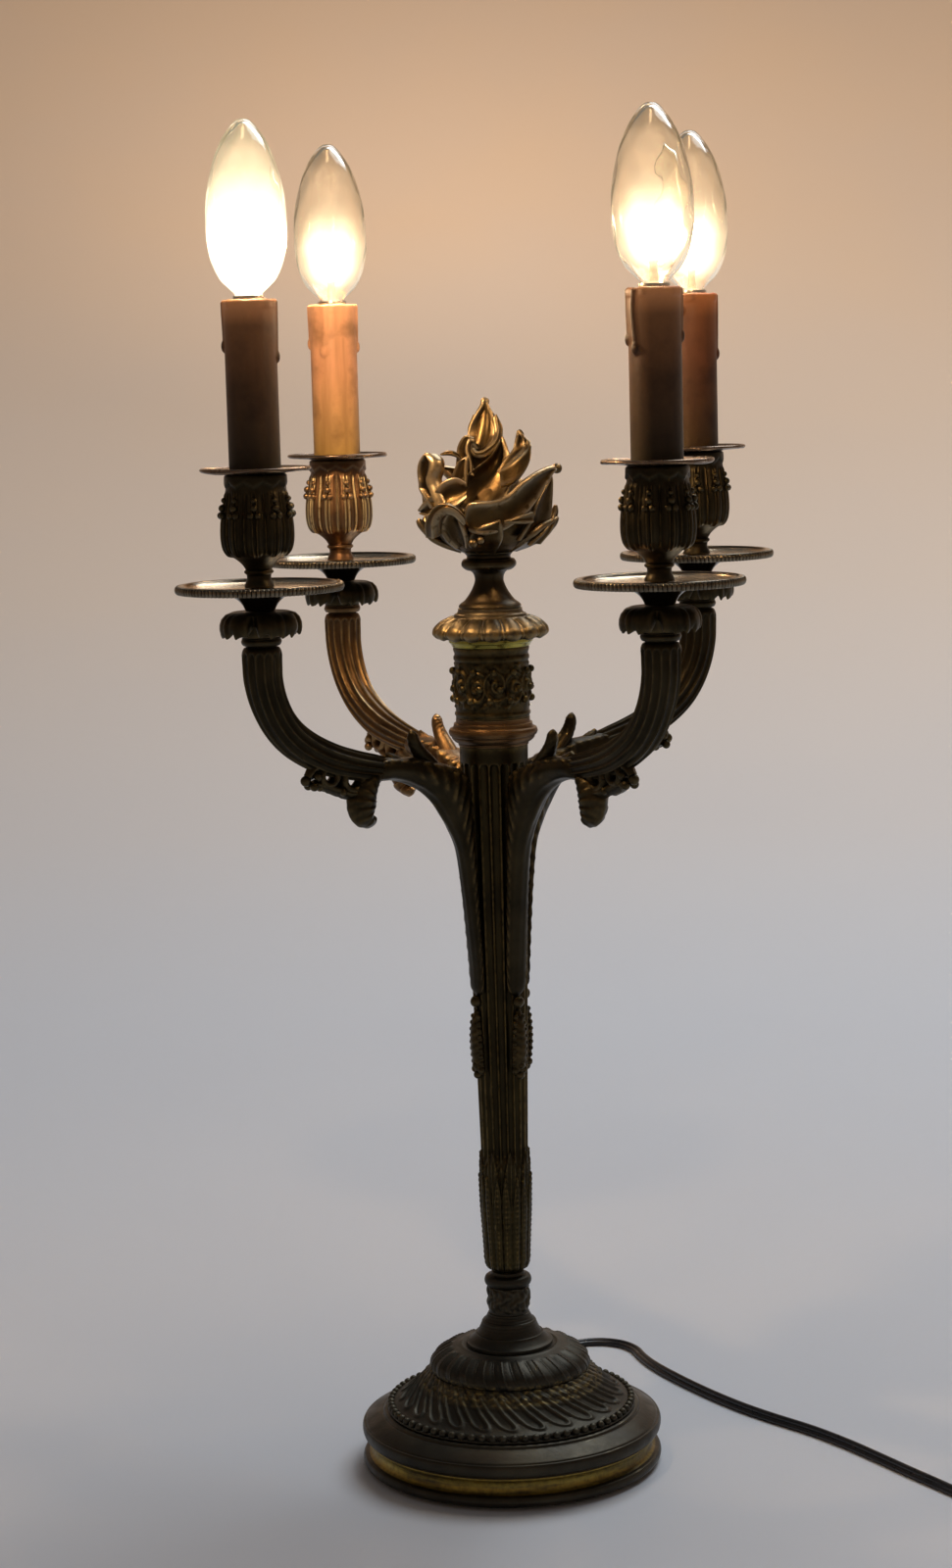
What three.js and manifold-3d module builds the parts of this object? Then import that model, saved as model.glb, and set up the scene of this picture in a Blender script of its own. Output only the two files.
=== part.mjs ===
// Candelabra lamp: four curved arms with electric candles round a tapered column, and a flame on top.
// Millimetres, +Z up. The origin is on the table, at the centre under the foot.
import * as THREE from "three";
import { mergeVertices } from "three/addons/utils/BufferGeometryUtils.js";
import Module from "manifold-3d";

const wasm = await Module();
wasm.setup();

// Clearances
const SEAT_GAP = 0.3; // between faces that rest on each other
const BORE_GAP = 0.3; // round a rod or tube that passes through a piece

// Straight sides that stand in for a full circle
const BASE_SIDES = 28;
const COLUMN_SIDES = 20;
const PAN_SIDES = 22;
const CUP_SIDES = 16;
const SMALL_SIDES = 12;

// Foot and dome
const PAD_INSET = 5.6; // edge of the pad inside the edge of the foot
const PAD_THICKNESS = 1.2;
const FOOT_RADIUS = 71.6;
const FOOT_HEIGHT = 26.2;
const FOOT_WALL = 4.2;
const SCOTIA_DEPTH = 5;
const SCOTIA_HEIGHT = 9;
const BEAD_RING_RADIUS = 59.4;
const DOME_HEIGHT = 30;
const DOME_WALL = 4;
const MELON_RADIUS = 37;
const DOME_TOP_RADIUS = 22;

// Plinth and column
const PLINTH_RADIUS = 20.7;
const PLINTH_HEIGHT = 35.3;
const DRUM_RADIUS = 10.2;
const STEM_HEIGHT = 253;
const STEM_NECK_RADIUS = 7.7;
const SHEATH_RADIUS = 12.1;
const SHEATH_HEIGHT = 61;
const STEM_LOW_RADIUS = 11.4;
const STEM_TOP_RADIUS = 16;
const FLUTES = 20;
const FLUTE_DEPTH = 1.1;
const COLLAR_RADIUS = 20.8;
const COLLAR_HEIGHT = 12.6;
const COLLAR_FLOOR = 4.6;
const FRIEZE_RADIUS = 17.3;
const FRIEZE_RELIEF = 1.3;
const FRIEZE_HEIGHT = 30;
const FRIEZE_WALL = 3.6;
const BRASS_RING_RADIUS = 19.7;
const BRASS_RING_HEIGHT = 6.6;

// Rod that holds the column together
const ROD_RADIUS = 5;
const ROD_WALL = 1.4;
const ROD_END = 4; // thread that stands past each nut
const NUT_ACROSS_FLATS = 17;
const NUT_HEIGHT = 6;

// Finial
const SPIGOT_RADIUS = 8.2;
const SPIGOT_LENGTH = 24;
const STUD_RADIUS = 3;
const STUD_IN_FLAME = 14;
const CAP_RADIUS = 26.5;
const CAP_HEIGHT = 13.6;
const SPOOL_HEIGHT = 25.6;
const SPOOL_WAIST_RADIUS = 6.7;
const FLAME_HEIGHT = 70.6;
const FLAME_RADIUS = 26;
const FLAME_LOBES = 6;

// Arms
const ARM_AZIMUTHS = { back_right: 45, back_left: 135, front_left: 225, front_right: 315 };
const ARM_REACH = 125;
const ARM_RISE = 53;
const ARM_RADIUS = 8.2;
const ARM_ROOT_RADIUS = 4.8;
const ARM_FLUTES = 6;
const ARM_ROOT_DROP = 10.5; // root of the arm below the top of the stem
const ARM_NECK_HEIGHT = 17;
const BRACKET_WIDTH = 10;
const BRACKET_LENGTH = 146;
const BRACKET_RELIEF = 2.6; // how far its lower end stands out of the stem
const SCROLL_WIDTH = 8;
const NIPPLE_RADIUS = 4;

// Candle groups
const CAPITAL_RADIUS = 18.3;
const CAPITAL_HEIGHT = 11.4;
const PAN_RADIUS = 37.5;
const PAN_HEIGHT = 12;
const PAN_RIM = 4;
const CUP_RADIUS = 16.4;
const CUP_HEIGHT = 49.6;
const CUP_WALL = 2.6;
const BOBECHE_RADIUS = 24.4;
const BOBECHE_HEIGHT = 2.4;
const SLEEVE_RADIUS = 11.5;
const SLEEVE_WALL = 1.2;
const SLEEVE_HEIGHT = 73.5;
const HOLDER_RADIUS = 9.4;
const HOLDER_RECESS = 0.6; // top of the lamp holder below the top of the sleeve
const NIPPLE_IN_HOLDER = 9;
const SOCKET_GAP = 0.45;
const BULB_RADIUS = 17.7;
const BULB_HEIGHT = 76;
const BULB_RISE = 1.5; // foot of the bulb's bowl above the sleeve
const GLASS_WALL = 0.9;
const GLASS_IN_CAP = 5;
const SCREW_CAP_RADIUS = 6.9;
const SCREW_CAP_LENGTH = 24;
const SCREW_CAP_WALL = 0.6;
const CONTACT_RADIUS = 4;
const CONTACT_HEIGHT = 2;

// Flex, its gland and its plug
const CORD_RADIUS = 2.4;
const CORD_SIDES = 8;
const CORD_STEPS = 40;
const GLAND_RADIUS = 4.2;
const GLAND_LENGTH = 24;
const GLAND_TIP_RADIUS = 3.2;
const COIL_CENTRE = [252.0, -21.2];
const COIL_INNER_RADIUS = 17;
const COIL_OUTER_RADIUS = 40;
const COIL_HEIGHT = 5.6;
const PLUG_LENGTH = 33;
const PLUG_WIDTH = 30;
const PLUG_THICKNESS = 13;
const PLUG_REAR_WIDTH = 9;
const PLUG_AZIMUTH = 30; // where the flex leaves the coil
const PIN_RADIUS = 2;
const PIN_LENGTH = 19;
const PIN_SPACING = 18.6;

// The route of the flex on the table, from the gland to the coil. Chosen by hand.
const CORD_POINTS = [
  [0, 91, 11.8],
  [0, 97, 11.7],
  [0, 106, 10.1],
  [0, 114.5, 7.1],
  [0, 123, 4.1],
  [0, 132, 2.7],
  [0, 142, 2.5],
  [0, 152.6, 2.5],
  [2.9, 163.6, 2.5],
  [11, 171.9, 2.5],
  [22, 175, 2.5],
  [33, 172, 2.5],
  [41.1, 163.8, 2.5],
  [46.2, 152.4, 2.5],
  [52.4, 140.2, 2.5],
  [61.6, 125.6, 2.5],
  [74, 109, 2.5],
  [91, 89, 2.5],
  [106.5, 73, 2.5],
  [122.5, 59, 2.5],
  [142, 43.3, 2.5],
  [160.5, 25, 2.5],
  [176.5, 6.7, 2.5],
  [193, -12.5, 2.5],
  [211.5, -32.6, 2.5],
];

// Heights of the stack, worked out from the sizes above
const footZ = PAD_THICKNESS + SEAT_GAP;
const domeZ = footZ + FOOT_HEIGHT + SEAT_GAP;
const plinthZ = domeZ + DOME_HEIGHT + SEAT_GAP;
const stemZ = plinthZ + PLINTH_HEIGHT + SEAT_GAP;
const collarZ = stemZ + STEM_HEIGHT + SEAT_GAP;
const friezeZ = collarZ + COLLAR_HEIGHT + SEAT_GAP;
const brassRingZ = friezeZ + FRIEZE_HEIGHT + SEAT_GAP;
const capZ = brassRingZ + BRASS_RING_HEIGHT + SEAT_GAP;
const spoolZ = capZ + CAP_HEIGHT + SEAT_GAP;
const flameZ = spoolZ + SPOOL_HEIGHT + SEAT_GAP;
const armRootZ = stemZ + STEM_HEIGHT - ARM_ROOT_DROP;
const armNeckZ = armRootZ + ARM_RISE;
const capitalZ = armNeckZ + ARM_NECK_HEIGHT + SEAT_GAP;
const panZ = capitalZ + CAPITAL_HEIGHT + SEAT_GAP;
const cupZ = panZ + PAN_HEIGHT - PAN_RIM / 2 + SEAT_GAP;
const bobecheZ = cupZ + CUP_HEIGHT + SEAT_GAP;
const bobecheFloor = bobecheZ + BOBECHE_HEIGHT / 2;
const sleeveZ = bobecheFloor + SEAT_GAP;
const sleeveTop = sleeveZ + SLEEVE_HEIGHT;
const nippleTop = sleeveZ + NIPPLE_IN_HOLDER;
const glassZ = sleeveTop + BULB_RISE;
const screwCapZ = glassZ + SEAT_GAP - SCREW_CAP_LENGTH;
const contactZ = screwCapZ - SEAT_GAP - CONTACT_HEIGHT;
const rodBore = ROD_RADIUS + BORE_GAP;
const nippleBore = NIPPLE_RADIUS + BORE_GAP;
const studBore = STUD_RADIUS + BORE_GAP;
const socketRadius = SCREW_CAP_RADIUS + SOCKET_GAP;

const MATERIALS = {
  patina: [0x3b2a1d, 0.45, 0.9],
  gilt: [0x6b5426, 0.5, 0.9],
  brass: [0xb5a04a, 0.3, 1],
  felt: [0x1f2a20, 0.95, 0],
  steel: [0x8a8a86, 0.4, 1],
  wax: [0xd2ab7c, 0.6, 0],
  plastic: [0xe8e4da, 0.5, 0],
  glass: [0xf6efe2, 0.05, 0],
  nickel: [0xb9b4a6, 0.35, 1],
  solder: [0x9c9a96, 0.4, 1],
  flex: [0x17120f, 0.6, 0],
};

const lamp = new THREE.Group();

function add(name, geometry, finish, parent = lamp) {
  const [color, roughness, metalness] = MATERIALS[finish];
  const mesh = new THREE.Mesh(geometry, new THREE.MeshStandardMaterial({ color, roughness, metalness }));
  mesh.name = name;
  parent.add(mesh);
  return mesh;
}

// Twice the area of an outline, positive when it runs counter-clockwise.
function doubleArea(points) {
  return points.reduce((sum, [x, y], i) => {
    const [nextX, nextY] = points[(i + 1) % points.length];
    return sum + x * nextY - nextX * y;
  }, 0);
}

// A turned piece from its outline of [radius, height] points, in any direction. radiusAt may carve it.
function turned(outline, sides, radiusAt) {
  const points = doubleArea(outline) > 0 ? outline : [...outline].reverse();
  const onAxis = points.findIndex(([r], i) => r === 0 && points.at(i - 1)[0] === 0);
  const start = Math.max(onAxis, 0);
  const ordered = [...points.slice(start), ...points.slice(0, start)];
  const profile = ordered.map(([r, z]) => new THREE.Vector2(r, z));
  if (onAxis < 0) profile.push(profile[0].clone());
  const geometry = new THREE.LatheGeometry(profile, sides).rotateX(Math.PI / 2);
  const position = geometry.attributes.position;
  for (let i = 0; radiusAt && i < position.count; i++) {
    const x = position.getX(i);
    const y = position.getY(i);
    const r = Math.hypot(x, y);
    const share = r > 0 ? radiusAt(r, Math.atan2(y, x), position.getZ(i)) / r : 1;
    position.setXY(i, x * share, y * share);
  }
  return geometry;
}

// A round bar of changing thickness along a smooth curve. shares scales each side's distance from the middle.
function taperedBar(points, radii, sides, steps, shares = () => 1) {
  const curve = new THREE.CatmullRomCurve3(points.map((p) => new THREE.Vector3(...p)));
  const frames = curve.computeFrenetFrames(steps, false);
  const geometry = new THREE.CylinderGeometry(1, 1, 1, sides, steps);
  const position = geometry.attributes.position;
  for (let i = 0; i < position.count; i++) {
    const step = Math.round((position.getY(i) + 0.5) * steps);
    const place = (step / steps) * (radii.length - 1);
    const low = Math.min(Math.floor(place), radii.length - 2);
    const side = Math.round((Math.atan2(position.getZ(i), position.getX(i)) / (2 * Math.PI)) * sides);
    const radius = THREE.MathUtils.lerp(radii[low], radii[low + 1], place - low) * shares(Math.abs(side));
    const centre = curve.getPointAt(step / steps);
    centre.addScaledVector(frames.normals[step], position.getX(i) * radius);
    centre.addScaledVector(frames.binormals[step], -position.getZ(i) * radius);
    position.setXYZ(i, centre.x, centre.y, centre.z);
  }
  return geometry;
}

// Corners of a circle drawn with a few straight sides.
function circle(x, y, radius, sides) {
  return Array.from({ length: sides }, (_, i) => {
    const a = ((i + 0.5) * 2 * Math.PI) / sides;
    return new THREE.Vector2(x + radius * Math.cos(a), y + radius * Math.sin(a));
  });
}

// A flat piece cut from an outline of [out, up] points, centred on the plane y = 0.
function upright(outline, width, holes = []) {
  const shape = new THREE.Shape(outline.map(([x, z]) => new THREE.Vector2(x, z)));
  for (const [x, z, r] of holes) shape.holes.push(new THREE.Path(circle(x, z, r, 7)));
  const geometry = new THREE.ExtrudeGeometry(shape, { depth: width, bevelEnabled: false });
  return geometry.rotateX(Math.PI / 2).translate(0, width / 2, 0);
}

function solidOf(geometry) {
  const bare = geometry.clone();
  bare.deleteAttribute("normal");
  bare.deleteAttribute("uv");
  const merged = mergeVertices(bare, 1e-3);
  return new wasm.Manifold(
    new wasm.Mesh({
      numProp: 3,
      vertProperties: merged.attributes.position.array,
      triVerts: new Uint32Array(merged.index.array),
    }),
  );
}

function geometryOf(solid) {
  const mesh = solid.getMesh();
  return new THREE.BufferGeometry()
    .setAttribute("position", new THREE.BufferAttribute(new Float32Array(mesh.vertProperties), 3))
    .setIndex(new THREE.BufferAttribute(mesh.triVerts, 1));
}

function joined(geometries) {
  return geometryOf(geometries.map(solidOf).reduce((whole, piece) => whole.add(piece)));
}

function cut(geometry, tool) {
  return geometryOf(solidOf(geometry).subtract(solidOf(tool)));
}

// Radius of the stem above its leaf sheath.
function stemRadiusAt(z) {
  const low = stemZ + SHEATH_HEIGHT;
  const share = (z - low) / (stemZ + STEM_HEIGHT - low);
  return THREE.MathUtils.lerp(STEM_LOW_RADIUS, STEM_TOP_RADIUS, share);
}

function pad() {
  const radius = FOOT_RADIUS - PAD_INSET;
  return turned([[0, 0], [radius, 0], [radius, PAD_THICKNESS], [0, PAD_THICKNESS]], BASE_SIDES);
}

const scotiaZ = footZ + 5.8;
const glandZ = scotiaZ + SCOTIA_HEIGHT / 2;
const scotiaRadius = FOOT_RADIUS - SCOTIA_DEPTH;

// Turned foot: a low ring, a hollow band, a wide rim and a slope that carries the dome.
function foot() {
  const inner = scotiaRadius - FOOT_WALL;
  const seat = BEAD_RING_RADIUS + 1;
  const top = footZ + FOOT_HEIGHT;
  const ring = turned(
    [
      [inner, footZ],
      [FOOT_RADIUS - 1.6, footZ],
      [FOOT_RADIUS - 0.2, footZ + 1.6],
      [FOOT_RADIUS - 0.4, footZ + 4.4],
      [scotiaRadius + 1.4, scotiaZ],
      [scotiaRadius, scotiaZ + SCOTIA_HEIGHT / 3],
      [scotiaRadius, scotiaZ + (SCOTIA_HEIGHT * 2) / 3],
      [scotiaRadius + 2.6, scotiaZ + SCOTIA_HEIGHT],
      [FOOT_RADIUS, footZ + 16.5],
      [FOOT_RADIUS, footZ + 19.5],
      [FOOT_RADIUS - 1.8, footZ + 21],
      [seat + 4, top - 2],
      [seat, top],
      [seat - FOOT_WALL * 2, top],
      [seat - FOOT_WALL * 2, top - FOOT_WALL],
      [inner, scotiaZ + SCOTIA_HEIGHT],
    ],
    BASE_SIDES,
  );
  const glandBore = GLAND_RADIUS + BORE_GAP;
  const hole = new THREE.CylinderGeometry(glandBore, glandBore, 3 * FOOT_WALL, SMALL_SIDES);
  return cut(ring, hole.translate(0, scotiaRadius - FOOT_WALL / 2, glandZ));
}

// Cast dome: a bead ring, a flaring skirt and a lobed cushion on top, hollow below.
function dome() {
  const top = domeZ + DOME_HEIGHT;
  const waist = MELON_RADIUS - 1.2;
  const boss = rodBore + 8;
  return turned(
    [
      [BEAD_RING_RADIUS - 1.4, domeZ],
      [BEAD_RING_RADIUS, domeZ + 1.4],
      [BEAD_RING_RADIUS - 1.2, domeZ + 3.2],
      [BEAD_RING_RADIUS - 3.4, domeZ + 2.8],
      [MELON_RADIUS + 12, domeZ + 7.4],
      [MELON_RADIUS + 5, domeZ + 13.6],
      [waist, domeZ + 18.2],
      [MELON_RADIUS, domeZ + 20.8],
      [MELON_RADIUS - 3.6, domeZ + 26.2],
      [DOME_TOP_RADIUS, top],
      [rodBore, top],
      [rodBore, top - 2 * DOME_WALL],
      [boss, top - 2 * DOME_WALL],
      [boss + 3, top - DOME_WALL - 1],
      [waist - DOME_WALL - 4, top - DOME_WALL - 4],
      [BEAD_RING_RADIUS - 2 * DOME_WALL, domeZ],
    ],
    BASE_SIDES,
  );
}

// Turned cone with a relief drum and a round moulding above it.
function plinth() {
  const top = plinthZ + PLINTH_HEIGHT;
  return turned(
    [
      [rodBore, plinthZ],
      [PLINTH_RADIUS, plinthZ],
      [PLINTH_RADIUS, plinthZ + 1.6],
      [PLINTH_RADIUS - 4.7, plinthZ + 5],
      [PLINTH_RADIUS - 8, plinthZ + 11.4],
      [DRUM_RADIUS - 0.6, plinthZ + 15],
      [DRUM_RADIUS, plinthZ + 22],
      [DRUM_RADIUS - 0.4, plinthZ + 28],
      [DRUM_RADIUS + 1.05, plinthZ + 29.6],
      [DRUM_RADIUS + 1.05, plinthZ + 32],
      [STEM_NECK_RADIUS, top - 1.2],
      [STEM_NECK_RADIUS, top],
      [rodBore, top],
    ],
    COLUMN_SIDES,
  );
}

// Tapered stem: a leaf sheath below, and flutes from there to the top.
function stem() {
  const top = stemZ + STEM_HEIGHT;
  const sheathTop = stemZ + SHEATH_HEIGHT;
  const fluted = (r, a, z) =>
    r > rodBore + 1 && z > sheathTop && z < top - 4 && Math.cos(FLUTES * a) < 0 ? r - FLUTE_DEPTH : r;
  return turned(
    [
      [rodBore, stemZ],
      [STEM_NECK_RADIUS, stemZ],
      [SHEATH_RADIUS - 2.4, stemZ + 3.6],
      [SHEATH_RADIUS - 0.4, stemZ + SHEATH_HEIGHT * 0.6],
      [SHEATH_RADIUS, sheathTop - 2],
      [STEM_LOW_RADIUS, sheathTop],
      [STEM_LOW_RADIUS + 0.1, sheathTop + 4],
      [stemRadiusAt(top - 8), top - 8],
      [STEM_TOP_RADIUS, top - 4],
      [STEM_TOP_RADIUS, top],
      [rodBore, top],
    ],
    2 * FLUTES,
    fluted,
  );
}

// Turned collar on the stem: its floor is held down by the upper nut.
function collar() {
  const inner = FRIEZE_RADIUS - FRIEZE_WALL;
  const top = collarZ + COLLAR_HEIGHT;
  return turned(
    [
      [rodBore, collarZ],
      [STEM_TOP_RADIUS + 0.5, collarZ],
      [COLLAR_RADIUS - 1.6, collarZ + 3.8],
      [COLLAR_RADIUS, collarZ + 6.2],
      [COLLAR_RADIUS - 0.7, collarZ + 8.2],
      [FRIEZE_RADIUS + 1, collarZ + 10],
      [FRIEZE_RADIUS, top],
      [inner, top],
      [inner, collarZ + COLLAR_FLOOR],
      [rodBore, collarZ + COLLAR_FLOOR],
    ],
    COLUMN_SIDES,
  );
}

function frieze() {
  const inner = FRIEZE_RADIUS - FRIEZE_WALL;
  const top = friezeZ + FRIEZE_HEIGHT;
  const relief = FRIEZE_RADIUS + FRIEZE_RELIEF;
  return turned(
    [
      [inner, friezeZ],
      [FRIEZE_RADIUS, friezeZ],
      [FRIEZE_RADIUS, friezeZ + 3.4],
      [relief, friezeZ + 5.6],
      [relief, top - 4.6],
      [FRIEZE_RADIUS, top - 3],
      [FRIEZE_RADIUS, top],
      [inner, top],
    ],
    COLUMN_SIDES,
  );
}

// Brass socket in the column's mouth: its tube guides the finial's spigot.
function brassRing() {
  const bore = SPIGOT_RADIUS + BORE_GAP;
  const tube = FRIEZE_RADIUS - FRIEZE_WALL - BORE_GAP;
  const top = brassRingZ + BRASS_RING_HEIGHT;
  const foot = capZ - SPIGOT_LENGTH - 1;
  return turned(
    [
      [bore, foot],
      [tube, foot],
      [tube, brassRingZ],
      [FRIEZE_RADIUS + 0.6, brassRingZ],
      [BRASS_RING_RADIUS - 0.8, top - 2.2],
      [BRASS_RING_RADIUS, top - 1],
      [BRASS_RING_RADIUS, top],
      [bore, top],
    ],
    COLUMN_SIDES,
  );
}

// Lobed cap of the finial, in one piece with its spigot and with the stud that carries spool and flame.
function finialCap() {
  const top = capZ + CAP_HEIGHT;
  return turned(
    [
      [0, capZ - SPIGOT_LENGTH],
      [SPIGOT_RADIUS, capZ - SPIGOT_LENGTH],
      [SPIGOT_RADIUS, capZ],
      [CAP_RADIUS - 3, capZ],
      [CAP_RADIUS, capZ + 2],
      [CAP_RADIUS - 0.8, capZ + 4.6],
      [CAP_RADIUS - 3.8, capZ + 7.2],
      [CAP_RADIUS - 8.8, capZ + 9.6],
      [CAP_RADIUS - 10.4, top - 2.4],
      [CAP_RADIUS - 11.6, top],
      [STUD_RADIUS, top],
      [STUD_RADIUS, flameZ + STUD_IN_FLAME],
      [0, flameZ + STUD_IN_FLAME],
    ],
    COLUMN_SIDES,
  );
}

function finialSpool() {
  const top = spoolZ + SPOOL_HEIGHT;
  return turned(
    [
      [studBore, spoolZ],
      [SPOOL_WAIST_RADIUS + 7.6, spoolZ],
      [SPOOL_WAIST_RADIUS + 6.4, spoolZ + 2],
      [SPOOL_WAIST_RADIUS + 4, spoolZ + 4.4],
      [SPOOL_WAIST_RADIUS + 1.1, spoolZ + 9],
      [SPOOL_WAIST_RADIUS, spoolZ + 13.4],
      [SPOOL_WAIST_RADIUS + 1.1, spoolZ + 16.2],
      [SPOOL_WAIST_RADIUS + 5.9, spoolZ + 19.8],
      [SPOOL_WAIST_RADIUS + 5.9, spoolZ + 21.6],
      [SPOOL_WAIST_RADIUS + 3.5, spoolZ + 23.8],
      [SPOOL_WAIST_RADIUS + 4.7, top],
      [studBore, top],
    ],
    COLUMN_SIDES,
  );
}

// One tongue of flame as [turn in degrees, lean of its tip, outermost radius, tip height share, thickness].
const TONGUES = [
  [9, -24, 30, 0.5, 5.6],
  [52, 26, 27, 0.62, 5],
  [100, -20, 28, 0.44, 5.4],
  [146, 24, 26, 0.6, 5],
  [190, -26, 28, 0.55, 6],
  [214, 18, 29, 0.22, 5],
  [248, -22, 26, 0.4, 5],
  [292, 26, 24, 0.64, 5],
  [334, -20, 30, 0.28, 5.4],
];

function tongue([turn, lean, radius, share, thick]) {
  const at = (r, degrees, z) => {
    const a = THREE.MathUtils.degToRad(turn + degrees);
    return [r * Math.cos(a), r * Math.sin(a), flameZ + z * FLAME_HEIGHT];
  };
  return taperedBar(
    [
      at(radius * 0.45, 0, 0.08),
      at(radius * 0.85, lean * 0.2, 0.14 + share * 0.1),
      at(radius, lean * 0.6, 0.1 + share * 0.55),
      at(radius * 1.06, lean, share),
    ],
    [thick, thick, thick * 0.75, thick * 0.3],
    5,
    5,
  );
}

// Flame: a twisted lobed body that ends in a spire, with curling tongues round it.
function flame() {
  const swirled = (r, a, z) => {
    const share = (z - flameZ) / FLAME_HEIGHT;
    if (share < 0.08 || r < studBore + 0.5) return r;
    return r * (1 + 0.12 * Math.cos(FLAME_LOBES * (a - 1.6 * share)));
  };
  const body = turned(
    [
      [studBore, flameZ],
      [11, flameZ],
      [17.7, flameZ + 2.4],
      [FLAME_RADIUS * 0.9, flameZ + 0.1 * FLAME_HEIGHT],
      [FLAME_RADIUS, flameZ + 0.22 * FLAME_HEIGHT],
      [FLAME_RADIUS * 0.84, flameZ + 0.36 * FLAME_HEIGHT],
      [FLAME_RADIUS * 0.58, flameZ + 0.52 * FLAME_HEIGHT],
      [FLAME_RADIUS * 0.36, flameZ + 0.68 * FLAME_HEIGHT],
      [FLAME_RADIUS * 0.2, flameZ + 0.84 * FLAME_HEIGHT],
      [FLAME_RADIUS * 0.08, flameZ + FLAME_HEIGHT],
      [0, flameZ + FLAME_HEIGHT],
      [0, flameZ + STUD_IN_FLAME + 1],
      [studBore, flameZ + STUD_IN_FLAME + 1],
    ],
    2 * FLAME_LOBES,
    swirled,
  );
  return joined([body, ...TONGUES.map(tongue)]);
}

const bottomNutZ = domeZ + DOME_HEIGHT - 2 * DOME_WALL - SEAT_GAP - NUT_HEIGHT;
const topNutZ = collarZ + COLLAR_FLOOR + SEAT_GAP;

// Hollow threaded rod, which also carries the wires up the column.
function rod() {
  const low = bottomNutZ - ROD_END;
  const high = topNutZ + NUT_HEIGHT + ROD_END;
  const inner = ROD_RADIUS - ROD_WALL;
  return turned([[inner, low], [ROD_RADIUS, low], [ROD_RADIUS, high], [inner, high]], SMALL_SIDES);
}

function nut(z) {
  const hexagon = new THREE.Shape(circle(0, 0, NUT_ACROSS_FLATS / Math.sqrt(3), 6));
  hexagon.holes.push(new THREE.Path(circle(0, 0, rodBore, SMALL_SIDES)));
  return new THREE.ExtrudeGeometry(hexagon, { depth: NUT_HEIGHT, bevelEnabled: false }).translate(0, 0, z);
}

// Fluted arm with the bracket that runs down the stem, the scroll below it and its threaded nipple on top.
function arm() {
  const root = [stemRadiusAt(armRootZ), armRootZ];
  const span = [ARM_REACH - root[0], ARM_RISE];
  const at = (out, up) => [root[0] + out * span[0], 0, root[1] + up * span[1]];
  const tube = taperedBar(
    [
      at(0.13, -0.1),
      at(0.2, 0.0),
      at(0.29, 0.06),
      at(0.38, 0.09),
      at(0.48, 0.12),
      at(0.59, 0.17),
      at(0.7, 0.24),
      at(0.8, 0.34),
      at(0.88, 0.46),
      at(0.94, 0.61),
      at(0.98, 0.78),
      at(1.0, 1.0),
    ],
    [
      ARM_ROOT_RADIUS,
      ARM_ROOT_RADIUS,
      ARM_ROOT_RADIUS + 0.4,
      ARM_RADIUS - 1.4,
      ARM_RADIUS - 0.6,
      ARM_RADIUS - 0.2,
      ARM_RADIUS,
      ARM_RADIUS,
      ARM_RADIUS,
    ],
    2 * ARM_FLUTES,
    12,
    (side) => (side % 2 ? 0.9 : 1),
  );
  const neck = turned(
    [
      [0, armNeckZ - 2],
      [ARM_RADIUS - 0.4, armNeckZ - 2],
      [ARM_RADIUS + 0.9, armNeckZ + 5],
      [ARM_RADIUS + 0.9, armNeckZ + 9],
      [ARM_RADIUS - 1.4, armNeckZ + 13.5],
      [ARM_RADIUS + 0.6, armNeckZ + ARM_NECK_HEIGHT - 1.6],
      [ARM_RADIUS + 0.6, armNeckZ + ARM_NECK_HEIGHT],
      [NIPPLE_RADIUS, armNeckZ + ARM_NECK_HEIGHT],
      [NIPPLE_RADIUS, nippleTop],
      [0, nippleTop],
    ],
    SMALL_SIDES,
  ).translate(ARM_REACH, 0, 0);
  return joined([tube, neck, bracket(), scroll(at(0.665, 0.21))]);
}

// Bracket along the stem: a husk drop, a bead, and a leaf that grows up and curls out under the arm.
function bracket() {
  const top = armRootZ + 1.5;
  const foot = armRootZ - BRACKET_LENGTH;
  const back = (z) => stemRadiusAt(z) + SEAT_GAP;
  const front = (up, relief) => [stemRadiusAt(foot + up) + relief, foot + up];
  const curl = (out, up) => [STEM_TOP_RADIUS + out, armRootZ + up];
  return upright(
    [
      [back(foot), foot],
      front(0.5, BRACKET_RELIEF - 1.2),
      front(6, BRACKET_RELIEF + 0.6),
      front(15, BRACKET_RELIEF),
      front(24, BRACKET_RELIEF + 0.4),
      front(31, BRACKET_RELIEF - 1.4),
      front(35.5, BRACKET_RELIEF),
      front(39, BRACKET_RELIEF - 1.2),
      front(0.363 * BRACKET_LENGTH, BRACKET_RELIEF - 0.8),
      front(0.493 * BRACKET_LENGTH, BRACKET_RELIEF),
      front(0.616 * BRACKET_LENGTH, BRACKET_RELIEF + 2.3),
      front(0.747 * BRACKET_LENGTH, BRACKET_RELIEF + 5),
      curl(12.4, -21.7),
      curl(16.6, -16.8),
      curl(20.4, -12.8),
      curl(25.6, -8.2),
      curl(31.2, -4.9),
      curl(36.6, -2.4),
      curl(42, -1),
      curl(50, -0.6),
      curl(50, 5),
      curl(36, 8.4),
      curl(34.4, 13),
      curl(31.6, 19.4),
      curl(29.2, 19.4),
      curl(27.6, 14.6),
      curl(24, 9),
      curl(18, 4),
      curl(10, 1.5),
      [back(top), top],
    ],
    BRACKET_WIDTH,
  );
}

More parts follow.
